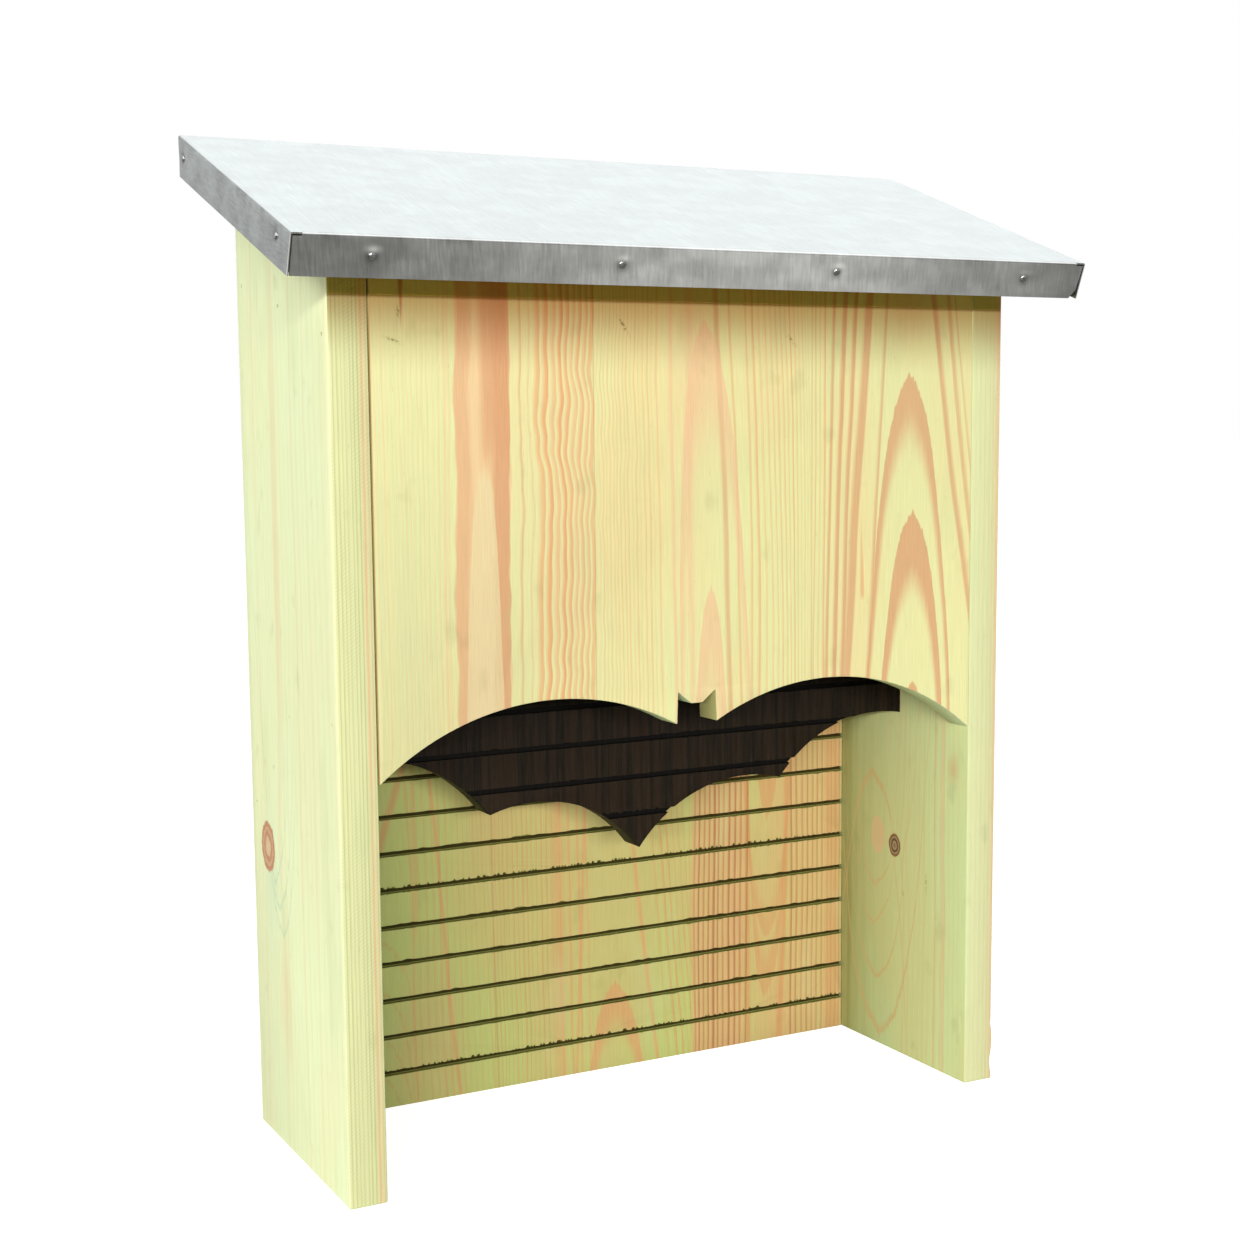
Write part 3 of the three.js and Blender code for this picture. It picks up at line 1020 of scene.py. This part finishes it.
def makeSideBoard(name, side, look):
    low, high = nodeBox(name)
    board = addBlock(name + "_board", low, high)
    cutAway(board, seat, roofUp)
    if side > 0:
        wearEdge(board, Vector((high.x, low.y, 0)))
    easeEdges(board, sideBoards["ease"], 3)
    outside = high.x if side > 0 else low.x
    for pin in [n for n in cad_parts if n.startswith(name[:-4] + "pin_")]:
        pinLow, pinHigh = nodeBox(pin)
        spot = Vector((outside, (pinLow.y + pinHigh.y) / 2, (pinLow.z + pinHigh.z) / 2))
        radius, length = sideBoards["pitRadius"], 2 * sideBoards["pitDepth"]
        carved(board, addRod("pit", spot, (0, math.pi / 2, 0), radius, length))
    finished(board, pineFinish(name + "Pine", look), "green_pine", name)


makeSideBoard("left_side", -1, leftLook)
makeSideBoard("right_side", 1, rightLook)


# Outlines are drawn as by hand: one vertex is pulled along straight runs and spun through arcs


def startOutline(name, spot):
    bpy.ops.object.select_all(action="DESELECT")
    bpy.ops.mesh.primitive_plane_add(size=mm, location=Vector(spot) * mm)
    piece = named(name)
    bpy.ops.object.transform_apply(location=True)
    startEditing()
    bpy.ops.mesh.select_mode(type="VERT")
    bpy.ops.mesh.select_all(action="SELECT")
    bpy.ops.mesh.merge(type="CENTER")
    return piece


def pullTo(start, end):
    move = (end[0] - start[0], 0, end[1] - start[1])
    bpy.ops.mesh.extrude_vertices_move(TRANSFORM_OT_translate={"value": Vector(move) * mm})


def spinTo(start, end, rise, y, steps):  # an arc that rises above the chord
    chord = Vector((end[0] - start[0], end[1] - start[1]))
    radius = (chord.length_squared / 4 + rise * rise) / (2 * rise)
    down = Vector((chord.y, -chord.x)).normalized() * (1 if chord.x > 0 else -1)
    middle = Vector(((start[0] + end[0]) / 2, (start[1] + end[1]) / 2)) + down * (radius - rise)
    sweep = 2 * math.asin(chord.length / 2 / radius) * (1 if chord.x > 0 else -1)
    centre = Vector((middle.x, y, middle.y)) * mm
    bpy.ops.mesh.spin(steps=steps, angle=-sweep, center=centre, axis=(0, 1, 0))


def closeOutline(thickness):
    bpy.ops.mesh.select_all(action="SELECT")
    bpy.ops.mesh.remove_doubles(threshold=0.01 * mm)
    bpy.ops.mesh.edge_face_add()
    drawnOut(0, thickness, 0)
    bpy.ops.mesh.select_all(action="SELECT")
    bpy.ops.mesh.normals_make_consistent(inside=False)
    stopEditing()


# Front board

frontBoard = {
    "archRise": 23.6,
    "shoulderHalf": 10.8,
    "shoulderRise": 15.2,  # above the feet of the arches
    "earLean": 0.6,
    "earRise": 15.3,
    "browDrop": 5.8,
    "browHalf": 3.06,
    "arcSteps": 44,
    "seam": 0.5,  # the left joint stands open a little
    "overrun": 60,  # drawn higher, then cut to the slope
    "ease": 0.45,
}
frontLook = {
    "face": -48.2,
    "middle": 300,
    "seed": 1.3,
    "tones": ((0.605, 0.60, 0.305), (0.63, 0.565, 0.285)),
    "waviness": 0.5,
    # heights of the painted ramp of shade under the eave
    "eaveShadeRamp": (366, 406),
    "wavy": [((-66, 338), (26, 44), 15), ((-66, 232), (22, 40), 9)],
    # the line at -161.2 is painted shade along the open seam by the left board; the others are joint lines
    # between staves
    "joints": [-161.2, -53.8, 65],
    "stripes": [
        stripesFrom(-161.8, -126, (1.9, 2.4), 0.3, "pink", share=0.45),
        stripesFrom(-84.6, -53.8, (4.3, 2.5), 1.05, uneven=0.7, luck=0.45, share=0.66),
        stripesFrom(-53.8, -22, (2.0, 2.3), 0.45, share=0.45),
        stripesFrom(27, 65, (4.0, 1.6), 0.7, lean=-0.02, share=0.4),
        stripesFrom(65, 75, (2.2, 4), 0.75, share=0.42),
    ],
    "bands": [
        bandAt(-146.6, 1.5, 0.85, "resin", taper=0.06, tip=389.6, soft=(0.6, 0.3)),
        bandAt(-127.2, 1.4, 0.25, "peach", soft=(0.8, 0.8)),
        bandAt(-109.9, 13.4, 0.85, "peach", soft=(0.5, 0.4), wave=(42, 4.5)),
        bandAt(-119.9, 3.4, 0.5, "peachDark", soft=(0.7, 1.8), wave=(42, 4.5)),
        bandAt(-100.8, 4.0, 0.85, "peachDark", lean=-0.01, soft=(1.6, 0.4), wave=(42, 4.5)),
        bandAt(-104.0, 7.3, 0.8, "peachDark", soft=(2.5, 0.5), above=(316, 346)),
        bandAt(-90.8, 0.55, 0.6, "peachDark", soft=(0.9, 0.35)),
        bandAt(-86.0, 0.35, 0.35, "peachDark", soft=(0.6, 0.35)),
        bandAt(-55.9, 0.4, 0.5, soft=(0.3, 0.3)),
        bandAt(-19.5, 0.5, 0.5, "pink", soft=(0.5, 0.4)),
        bandAt(-12.2, 0.9, 0.6, "blush", soft=(0.8, 0.6)),
        bandAt(-3, 1.6, 0.5, "blush", soft=(1.4, 1.4)),
        bandAt(15.6, 1.3, 0.62, "peachDark", lean=-0.045, soft=(1, 0.7)),
        bandAt(22.4, 0.6, 0.62, lean=-0.04, soft=(0.6, 0.4)),
        bandAt(76.3, 0.9, 0.75, "peachDark", lean=0.022, soft=(0.9, 0.4)),
        bandAt(81.6, 1.2, 0.8, "peachDark", lean=0.03, soft=(1.0, 0.4)),
        bandAt(86.5, 1.0, 0.8, "peachDark", lean=0.036, soft=(1.0, 0.4)),
        bandAt(91.0, 2.1, 0.75, "peachDark", lean=0.062, soft=(1.4, 0.6)),
        bandAt(102.0, 0.8, 0.7, "peachDark", lean=0.056, soft=(1.1, 0.4)),
        bandAt(94.5, 1.0, 0.7, taper=-0.03, tip=300, above=(258, 262)),
        bandAt(153.4, 1.6, 0.75, "peachDark", lean=-0.15, soft=(0.7, 1.6)),
        bandAt(161.0, 1.3, 0.6, "peachDark", lean=-0.13, soft=(0.6, 1.2)),
        bandAt(165.5, 0.5, 0.5, "peachDark", lean=-0.13, soft=(0.5, 0.7)),
    ],
    "flames": [
        flameAt((-109.5, 331), (240, 400), 0.75, "cream", narrow=2.5, point=0.1, edge=9, jag=9),
        flameAt((122.6, 371), (14, 42), 0.8, "peachDark"),
        flameAt((124.5, 302.5), (24, 46), 0.85, "peachDark", narrow=1.1),
        flameAt((125, 217.5), (20, 40), 0.85, "peachDark", narrow=1.3),
        flameAt((5.1, 396), (10, 75), 0.7, "blush", narrow=1.3, lean=0.03, edge=3),
        flameAt((8, 271.5), (20, 80), 0.7, "blush", narrow=1.9, edge=3),
    ],
    "blushes": [
        ((-146, 290), (28, 150), 0.85, "sap"),
        ((-90, 300), (40, 200), 0.25, "sap"),
        ((-68, 330), (15, 130), 0.4, "cream"),
        ((-1, 380), (12, 60), 0.35, "peach"),
        ((122, 405), (14, 20), 0.3, "peachDark"),
    ],
    "scuffs": [
        ((-150.5, 383), (3.2, 0.7), -0.35),
        ((-38.1, 391), (4.2, 0.7), -1.0),
        ((53.3, 385.3), (3, 0.8), -0.8),
        ((-148, 395), (0.6, 2.2), 0),
    ],
}


def makeFrontBoard():
    low, high = frontLow + Vector((frontBoard["seam"], 0, 0)), frontHigh
    foot = low.z
    shoulder = foot + frontBoard["shoulderRise"]
    ear = shoulder + frontBoard["earRise"]
    brow = ear - frontBoard["browDrop"]
    half = frontBoard["shoulderHalf"]
    earHalf = half - frontBoard["earLean"]
    browHalf = frontBoard["browHalf"]
    board = startOutline("front_board", (low.x, low.y, foot))
    steps, rise = frontBoard["arcSteps"], frontBoard["archRise"]
    spinTo((low.x, foot), (-half, shoulder), rise, low.y, steps)
    run = [(-half, shoulder), (-earHalf, ear), (-browHalf, brow)]
    run += [(-x, z) for x, z in reversed(run)]
    for start, end in zip(run, run[1:]):
        pullTo(start, end)
    spinTo((half, shoulder), (high.x, foot), rise, low.y, steps)
    top = high.z + frontBoard["overrun"]
    pullTo((high.x, foot), (high.x, top))
    pullTo((high.x, top), (low.x, top))
    closeOutline(high.y - low.y)
    cutAway(board, seat, roofUp)
    easeEdges(board, frontBoard["ease"])
    finished(board, pineFinish("frontPine", frontLook), "green_pine", "front_panel")


makeFrontBoard()


# Saw kerfs: one bar for each, with lips that splinter a little where the blade came out

kerfs = {
    "first": 18,
    "pitch": 19,
    "width": 2.5,
    "depth": 2.5,
    "topMargin": 14,
    "cuts": 100,  # more points along each bar for its lips, and more again where a lip is torn
    "tornCuts": 3,
    "lip": 0.7,
    "fray": 0.2,
    "splinter": 1.2,
    "longest": 1.3,
    "torn": {0: 3, 5: 4.5},  # kerfs with badly torn upper lips, and how badly
    "upper": 0.7,  # how badly the other upper lips are torn, and the lower ones
    "lower": 0.4,
    "past": (3, 2),  # how far a bar stands out at the sides and in front
    "longEdge": 10,
    "fineSize": 1.7,
    "patchSize": 34,
    "chipSize": 0.8,
}


def kerfBar(index, left, right, face, z):
    half = kerfs["width"] / 2
    aside, before = kerfs["past"]
    low, high = (left - aside, face - before, z - half), (right + aside, face + kerfs["depth"], z + half)
    bar = addBlock("kerfBar", low, high)
    startEditing()
    for y in (face, face + kerfs["lip"]):
        bpy.ops.mesh.select_all(action="SELECT")
        bpy.ops.mesh.bisect(plane_co=(0, y * mm, 0), plane_no=(0, 1, 0))
    pick(bar, "edges", lambda e: abs(e.verts[0].co.x - e.verts[1].co.x) > kerfs["longEdge"] * mm)
    bpy.ops.mesh.subdivide(number_cuts=kerfs["cuts"])
    if index in kerfs["torn"]:
        pick(bar, "edges", lambda e: abs(e.verts[0].co.x - e.verts[1].co.x) > mm)
        bpy.ops.mesh.subdivide(number_cuts=kerfs["tornCuts"])
    shape = bmesh.from_edit_mesh(bar.data)
    for vert in shape.verts:
        if vert.co.y < (face + 0.01) * mm:
            upper = vert.co.z > z * mm
            spot = vert.co / mm
            fine = noise.noise(Vector((spot.x / kerfs["fineSize"], index * 7.3, 3.0 if upper else 9.0)))
            patch = Vector((spot.x / kerfs["patchSize"], index * 3.1, 5.0 if upper else 11.0))
            patch = 0.7 + noise.noise(patch)
            chip = max(0, noise.cell(Vector((spot.x / kerfs["chipSize"], index + 0.5, 0.5)))) ** 2
            worst = kerfs["torn"].get(index, kerfs["upper"]) if upper else kerfs["lower"]
            torn = min(kerfs["splinter"] * (chip * max(0, patch)) * worst, kerfs["longest"])
            reach = kerfs["fray"] * abs(fine) + torn
            vert.co.z += reach * mm * (1 if upper else -1)
    bmesh.update_edit_mesh(bar.data)
    stopEditing()
    return bar


def sawKerfs(board, low, high, lowest, highest):
    bars = []
    z = kerfs["first"]
    while z < highest:
        if z > lowest:
            bars.append(kerfBar(len(bars), low.x, high.x, low.y, z))
        z += kerfs["pitch"]
    pickAlone(*bars)
    bpy.ops.object.join()
    carved(board, bars[0])


# Roost board

roostBoard = {
    "wingRise": 11.5,
    "rootRise": 56.8,  # the wing roots above the tail's tip
    "leftTip": {"side": -1, "share": 0.51, "drop": 31.9, "scallopRise": 14.1},
    "rightTip": {"side": 1, "share": 0.522, "drop": 28.4, "scallopRise": 13.6},
    "arcSteps": 30,
    "ease": 0.3,
}
roostLook = {
    "face": 9.8,
    "middle": 250,
    "seed": 5.1,
    "waviness": 1.4,
    "wavy": [((-70, 165), (40, 40), 2.5)],
    "stripes": [
        stripesFrom(-162, 162, (3.4, 2.8), 1.0, share=0.6),
    ],
}


def makeRoostBoard():
    low, high = nodeBox("roost_partition")
    root = low.z + roostBoard["rootRise"]
    tail = (0, low.z)
    left, right = [
        (tip["side"] * tip["share"] * high.x, root - tip["drop"])
        for tip in (roostBoard["leftTip"], roostBoard["rightTip"])
    ]
    steps, rise = roostBoard["arcSteps"], roostBoard["wingRise"]
    board = startOutline("roost_board", (low.x, low.y, root))
    spinTo((low.x, root), left, rise, low.y, steps)
    spinTo(left, tail, roostBoard["leftTip"]["scallopRise"], low.y, steps)
    spinTo(tail, right, roostBoard["rightTip"]["scallopRise"], low.y, steps)
    spinTo(right, (high.x, root), rise, low.y, steps)
    pullTo((high.x, root), (high.x, high.z))
    pullTo((high.x, high.z), (low.x, high.z))
    closeOutline(high.y - low.y)
    easeEdges(board, roostBoard["ease"])
    sawKerfs(board, low, high, low.z, high.z - kerfs["topMargin"])
    finished(board, stainedFinish("roostStain", roostLook), "stained_pine", "roost_partition")


makeRoostBoard()


# Back board, with the keyhole that the box hangs by

backBoard = {
    "ease": 0.45,
    "holeDrop": 64,
    "slotRise": 14,
    "headRadius": 5,
    "neckRadius": 2.5,
    "lip": 4,
    "holeDepth": 9.5,
    "overrun": 1,  # how far the cutters stand out of the back
}
backLook = {
    "face": 63.8,
    "middle": 100,
    "seed": 2.9,
    "tones": ((0.385, 0.43, 0.15), (0.415, 0.375, 0.145)),
    "kerfDepth": 2.5,
    "kerfShare": 0.97,
    "endShare": 0.3,
    "joints": [-57.5, 60.8],
    "straightFrom": 175,
    "stripes": [
        stripesFrom(-104, -57.5, (4.6, 2.4), 0.35, "brown", lean=-0.03, share=0.4),
        stripesFrom(-57.5, -22, (2.3, 3.2), 0.55, "brown", share=0.4),
        stripesFrom(-22, 2, (5.6, 5.2), 0.8, "rose", share=0.3),
        stripesFrom(36, 60.8, (5.2, 2.6), 0.55, "brown", lean=-0.06, share=0.4),
        stripesFrom(60.8, 99, (2.8, 4.2), 1.0, "line", luck=0.5, share=0.42),
        stripesFrom(122, 150, (4.2, 3.4), 0.8, "line", luck=0.5, share=0.42),
        stripesFrom(150, 161.8, (2.6, 2.6), 0.5, "line", share=0.5),
    ],
    "bands": [
        bandAt(-87, 0.9, 0.7, "rose", lean=-0.1, soft=(1, 0.5)),
        bandAt(-104, 0.6, 0.5, "rose", lean=-0.03, soft=(0.8, 0.5)),
        bandAt(-102.5, 1.2, 0.35, "rose", soft=(1, 1), above=(80, 96)),
        bandAt(-129, 1.7, 0.65, "rose", lean=0.285, soft=(1.4, 1.4), above=(126, 134)),
        bandAt(-57.5, 0.5, 0.4, "line", soft=(0.4, 0.4)),
        bandAt(-19, 3.4, 0.45, "rose", soft=(2.5, 2.5)),
        bandAt(-4, 0.9, 0.7, "rose", lean=0.06, soft=(1, 0.6)),
        bandAt(29, 1.0, 0.7, "rose", lean=-0.1, soft=(1, 0.6)),
        bandAt(79, 17.8, 0.6, "peachDark", soft=(0.7, 3)),
        bandAt(76.2, 0.5, 0.9, "line", soft=(0.3, 0.3)),
        bandAt(98.1, 1.5, 0.7, "brown", lean=-0.02, soft=(0.8, 1.5)),
        bandAt(121.2, 1.5, 0.7, "brown", lean=0.03, soft=(1.5, 0.8)),
        bandAt(154.6, 4.3, 0.5, "brown", soft=(1.6, 1.2)),
    ],
    "flames": [
        flameAt((-124, 92), (1, 3.4), 0.45, "brown", narrow=0.5, lean=-0.2),
        flameAt((-126, 68), (1, 3.4), 0.45, "brown", narrow=0.5, lean=-0.2),
        flameAt((-126, 44), (1, 3.4), 0.45, "brown", narrow=0.5, lean=-0.2),
        flameAt((-126, 24), (1, 3.4), 0.45, "brown", narrow=0.55, lean=-0.2),
        flameAt((14.5, 49), (14, 34), 0.7, "rose", narrow=1.0),
        flameAt((110.4, 126), (24, 60), 0.6, "brown", down=True, narrow=1.9),
        flameAt((110.4, 58), (5, 24), 0.5, "brown", down=True, narrow=1.4),
        flameAt((110.4, 24), (14, 30), 0.5, "brown", down=True, narrow=1.8),
    ],
    "blushes": [((-40, 150), (60, 60), 0.15, "rose"), ((136, 110), (40, 300), 0.6, "peachDark")],
}


def stretchedRod(radius, front, back, low, rise):  # a rod along Y, drawn out upward to a slot
    turn = (math.pi / 2, math.pi / rodSides, 0)  # with a flat side level
    rod = addRod("keyholeBit", (0, (front + back) / 2, low), turn, radius, back - front)
    startEditing()
    pick(rod, "verts", lambda v: v.co.z > low * mm)
    bpy.ops.transform.translate(value=(0, 0, rise * mm))
    stopEditing()
    return rod


def routeKeyhole(board, back, under):
    low = under - backBoard["holeDrop"]
    floor = back - backBoard["holeDepth"]
    head, neck = backBoard["headRadius"], backBoard["neckRadius"]
    rise, past = backBoard["slotRise"], back + backBoard["overrun"]
    carved(board, stretchedRod(head, floor, past, low, 0))
    carved(board, stretchedRod(neck, floor, past, low, rise))
    carved(board, stretchedRod(head, floor, back - backBoard["lip"], low, rise))


def makeBackBoard():
    low, high = nodeBox("back_panel")
    board = addBlock("back_board", low, high)
    cutAway(board, seat, roofUp)
    easeEdges(board, backBoard["ease"])
    under = high.z - (high.y - low.y) * math.tan(roofSlope)
    sawKerfs(board, low, high, 0, under - kerfs["topMargin"])
    routeKeyhole(board, high.y, high.z)
    finished(board, pineFinish("backPine", backLook), "green_pine", "back_panel")


makeBackBoard()


# Roof board and its folded sheet, both modelled flat in the roof's own frame and then tilted

roofBoard = {
    "inset": 0.9,  # the sheet's thickness and a little air
    "thickness": 16,
    "ease": 0.4,
}
roofLook = {
    "turn": (-roofSlope, 0, 0),
    "axes": "YZX",
    "face": 0,
    "middle": 0,
    "seed": 6.4,
    # dark tones: painted shade, as the deck lies in the dark under its sheet
    "tones": ((0.34, 0.34, 0.17), (0.36, 0.33, 0.165)),
    "sawnShare": 0,
    "endShare": 0,
    "stripes": [stripesFrom(242, 400, (4, 4), 0.6)],
    # painted shade at the deck's front corners, seen through the sheet's slits
    "blushes": [((75.9, side * 205), (14, 16), 6, "paintedCornerShade") for side in (-1, 1)],
}
roofSheet = {
    "thickness": 0.7,
    "bend": 1.2,
    "flap": 18,
    "slitWidth": 0.4,
    "slitColumns": 2,  # how many columns of the grid the corner slit is long
    "columns": 204,
    "rows": 84,
    "flapSteps": 8,
    "bendSteps": 4,
    "dimple": 0.7,
    "dimpleRadius": 4.2,
    "clipLean": (13, 0.8),  # the right end of the front flap leans in by this much over this height
    "clipCorner": (5, 4),
    "clipFrom": 190,
    "near": 0.01,
    "wander": 0.16,
    "wanderSize": 60,
}
sheetLow, sheetHigh = nodeBox("roof_sheet")
crease = Vector((0, sheetLow.y, sheetLow.z + roofSheet["flap"] * math.cos(roofSlope)))
roofFrame = Matrix.Translation(crease * mm) @ Matrix.Rotation(roofSlope, 4, "X")
slopeLength = (sheetHigh.y - sheetLow.y) / math.cos(roofSlope)
pastBack = 20  # modelled longer, then cut plumb at the back


def tilted(piece):
    piece.matrix_world = roofFrame
    pickAlone(piece)
    bpy.ops.object.transform_apply()
    cutAway(piece, Vector((0, sheetHigh.y, 0)) * mm, (0, 1, 0))


def makeRoofBoard():
    half = sheetHigh.x - roofBoard["inset"]
    top = -roofBoard["inset"]
    low = (-half, roofBoard["inset"], top - roofBoard["thickness"])
    board = addBlock("roof_deck", low, (half, slopeLength + pastBack, top))
    tilted(board)
    easeEdges(board, roofBoard["ease"])
    finished(board, pineFinish("roofPine", roofLook), "green_pine", "roof_board")


makeRoofBoard()


def folded(centre, axis, degrees):  # bends the picked edges round a line
    angle = -math.radians(degrees)
    bpy.ops.mesh.spin(steps=roofSheet["bendSteps"], angle=angle, center=Vector(centre) * mm, axis=axis)


def drawn(*moves):  # extrudes the picked edges, once for each move
    for move in moves:
        bpy.ops.mesh.extrude_edges_move(TRANSFORM_OT_translate={"value": Vector(move) * mm})


def clipFlap(sheet, spot, direction):  # trims the right end of the front flap
    near, start = roofSheet["near"] * mm, roofSheet["clipFrom"] * mm
    pick(sheet, "faces", lambda f: f.calc_center_median().y < near and f.calc_center_median().x > start)
    bpy.ops.mesh.bisect(plane_co=Vector(spot) * mm, plane_no=direction, clear_outer=True)


def flapNailSpots():  # where nails go through the flaps: place in the roof frame and inward direction
    half, flap = sheetHigh.x, roofSheet["flap"]
    spots = []
    for index, share in enumerate(nails["frontShares"]):
        place = Vector((share * half, 0, -nails["frontDrop"] * flap))
        spots.append((f"front_flap_nail_{index + 1}", place, Vector((0, 1, 0))))
    for word, side in (("left", -1), ("right", 1)):
        for index, (along, down) in enumerate(nails["sideShares"]):
            place = Vector((side * half, along * slopeLength, -down * flap))
            spots.append((f"{word}_flap_nail_{index + 1}", place, Vector((-side, 0, 0))))
    return spots


def makeRoofSheet():
    bend, flap, gap = roofSheet["bend"], roofSheet["flap"], roofSheet["slitWidth"]
    plate = sheetHigh.x - bend
    length = slopeLength + pastBack
    column = 2 * plate / roofSheet["columns"]
    slit = plate - roofSheet["slitColumns"] * column
    bpy.ops.object.select_all(action="DESELECT")
    bpy.ops.mesh.primitive_grid_add(
        x_subdivisions=roofSheet["columns"],
        y_subdivisions=roofSheet["rows"],
        size=mm,
        location=Vector((0, (bend + length) / 2, 0)) * mm,
    )
    sheet = named("folded_sheet")
    bpy.ops.transform.resize(value=(2 * plate, length - bend, 1))
    bpy.ops.object.transform_apply()
    startEditing()
    near = 0.05 * mm

    def atFront(edge, inner, outer):
        ends = edge.verts
        inRange = all(inner * mm - near < abs(v.co.x) < outer * mm + near for v in ends)
        return inRange and all(abs(v.co.y - bend * mm) < near and abs(v.co.z) < near for v in ends)

    pick(sheet, "edges", lambda e: atFront(e, slit, plate))
    drawn((0, -bend, 0))
    pick(sheet, "edges", lambda e: atFront(e, 0, slit) and abs(e.calc_length() - column * mm) < near)
    folded((0, bend, -bend), (1, 0, 0), 90)
    rest = (flap - bend - gap) / roofSheet["flapSteps"]
    drawn((0, 0, -gap), *[(0, 0, -rest)] * roofSheet["flapSteps"])
    for side in (-1, 1):
        pick(sheet, "edges", lambda e: all(
            abs(v.co.x - side * slit * mm) < near and v.co.y < near and v.co.z < -(bend + gap) * mm + near
            for v in e.verts
        ))
        drawn(*[(side * column, 0, 0)] * roofSheet["slitColumns"])
        pick(sheet, "edges", lambda e: all(
            abs(v.co.x - side * plate * mm) < near and abs(v.co.z) < near for v in e.verts
        ))
        folded((side * plate, 0, -bend), (0, 1, 0), 90 * side)
        down = (flap - bend) / roofSheet["flapSteps"]
        drawn(*[(0, 0, -down)] * roofSheet["flapSteps"])
    lean, corner = roofSheet["clipLean"], roofSheet["clipCorner"]
    clipFlap(sheet, (plate, 0, -bend), Vector((lean[0], 0, -lean[1])).normalized())
    clipFlap(sheet, (plate, 0, corner[0] - flap), Vector((corner[0], 0, -corner[1])).normalized())
    dentSheet(sheet)
    stopEditing()
    applied(sheet, "SOLIDIFY", thickness=roofSheet["thickness"] * mm, offset=-1)
    tilted(sheet)
    finished(sheet, zincFinish("galvanisedSheet", roofSlope), "galvanised_sheet", "roof_sheet", angle=40)


def dentSheet(sheet):  # small hollows round the nails, and flaps that wander inward a little
    shape = bmesh.from_edit_mesh(sheet.data)
    spots = [(place * mm, inward) for name, place, inward in flapNailSpots()]
    for vert in shape.verts:
        low = min(1, max(0, -vert.co.z / mm - roofSheet["bend"]) / roofSheet["flap"])
        inward = None
        if vert.co.y < roofSheet["near"] * mm and low > 0:
            inward, run = Vector((0, 1, 0)), vert.co.x
        elif low > 0 and abs(vert.co.x) > (sheetHigh.x - 0.1) * mm:
            inward, run = Vector((-math.copysign(1, vert.co.x), 0, 0)), vert.co.y
        if inward:
            wander = 0.5 + noise.noise(Vector((run / mm / roofSheet["wanderSize"], 0, 4.2)))
            deep = roofSheet["wander"] * low * wander
            for place, direction in spots:
                if direction == inward:
                    far = (vert.co - place).length / mm / roofSheet["dimpleRadius"]
                    deep += roofSheet["dimple"] * math.exp(-far * far)
            vert.co += inward * deep * mm
    bmesh.update_edit_mesh(sheet.data)


# Nails and pins: each kind is modelled once, head up at the origin, and copied to its places

nails = {
    "sheet": {"head": 1.85, "rise": 0.8, "shank": 1, "length": 19, "point": 2, "sunk": 0},
    "deck": {"head": 2.4, "rise": 0.2, "shank": 1.2, "length": 42, "point": 3, "sunk": 0.3},
    "pin": {"head": 0.8, "rise": 0.1, "shank": 0.8, "length": 35, "point": 2, "sunk": 0.5},
    "domeSteps": [(0.16, 0.42), (0.2, 0.3), (0.3, 0.2), (0.34, 0.08)],  # inset and rise, as shares
    "frontShares": (-0.825, -0.26, 0.289, 0.825),
    "frontDrop": 0.49,
    "sideShares": ((0.108, 0.36), (0.945, 0.49)),
    "deckShares": (0.19, 0.77),
    "sides": 20,
    "plate": 0.4,  # the head's thickness under its dome
    "pointShare": 0.1,
    "sunkIn": 0.9,  # how far the sheet's nails go into its hollows, as a share
}


def makeFastener(kind):
    size, plate = nails[kind], nails["plate"]
    nail = addRod(kind + "_fastener", (0, 0, -plate / 2), (0, 0, 0), size["head"], plate, nails["sides"])
    startEditing()
    pick(nail, "faces", lambda f: f.normal.z > 0.9)
    for inset, rise in nails["domeSteps"]:
        bpy.ops.mesh.inset(thickness=inset * size["head"] * mm, depth=0)
        bpy.ops.transform.translate(value=(0, 0, rise * size["rise"] * mm))
    pick(nail, "faces", lambda f: f.normal.z < -0.9)
    if size["head"] > size["shank"]:
        bpy.ops.mesh.inset(thickness=(size["head"] - size["shank"]) * mm, depth=0)
    straight = size["length"] - size["point"] - plate
    drawnOut(0, 0, -straight)
    drawnOut(0, 0, -size["point"])
    bpy.ops.transform.resize(value=(nails["pointShare"], nails["pointShare"], 1))
    stopEditing()
    return nail


def driveIn(kind, node, place, inward, finish):
    piece = masters[kind].copy()
    piece.data = masters[kind].data.copy()
    bpy.context.collection.objects.link(piece)
    piece.name = piece.data.name = node + "_piece"
    turn = (-inward).to_track_quat("Z", "Y").to_matrix().to_4x4()
    piece.matrix_world = Matrix.Translation((place + inward * nails[kind]["sunk"]) * mm) @ turn
    pickAlone(piece)
    bpy.ops.object.transform_apply()
    finished(piece, finish, "nail_steel", node, angle=50)


def makeNails():
    finish = nailFinish("nailSteel")
    turn = roofFrame.to_3x3()
    for name, place, inward in flapNailSpots():
        dimpled = place + inward * roofSheet["dimple"] * nails["sunkIn"]
        driveIn("sheet", name, roofFrame @ (dimpled * mm) / mm, turn @ inward, finish)
    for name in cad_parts:
        low, high = nodeBox(name)
        middle = (low + high) / 2
        side = -1 if name.startswith("left") else 1
        if "_pin_" in name:
            place = Vector((-side * sideLow.x, middle.y, middle.z))
            driveIn("pin", name, place, Vector((-side, 0, 0)), finish)
        elif "_deck_" in name:
            share = nails["deckShares"][int(name[-1]) - 1]
            y = sideLow.y + share * (sideHigh.y - sideLow.y) - sheetLow.y
            place = Vector((middle.x, y / math.cos(roofSlope), -roofBoard["inset"]))
            driveIn("deck", name, roofFrame @ (place * mm) / mm, turn @ Vector((0, 0, -1)), finish)


masters = {kind: makeFastener(kind) for kind in ("sheet", "deck", "pin")}
makeRoofSheet()
makeNails()
for master in masters.values():
    bpy.data.objects.remove(master)
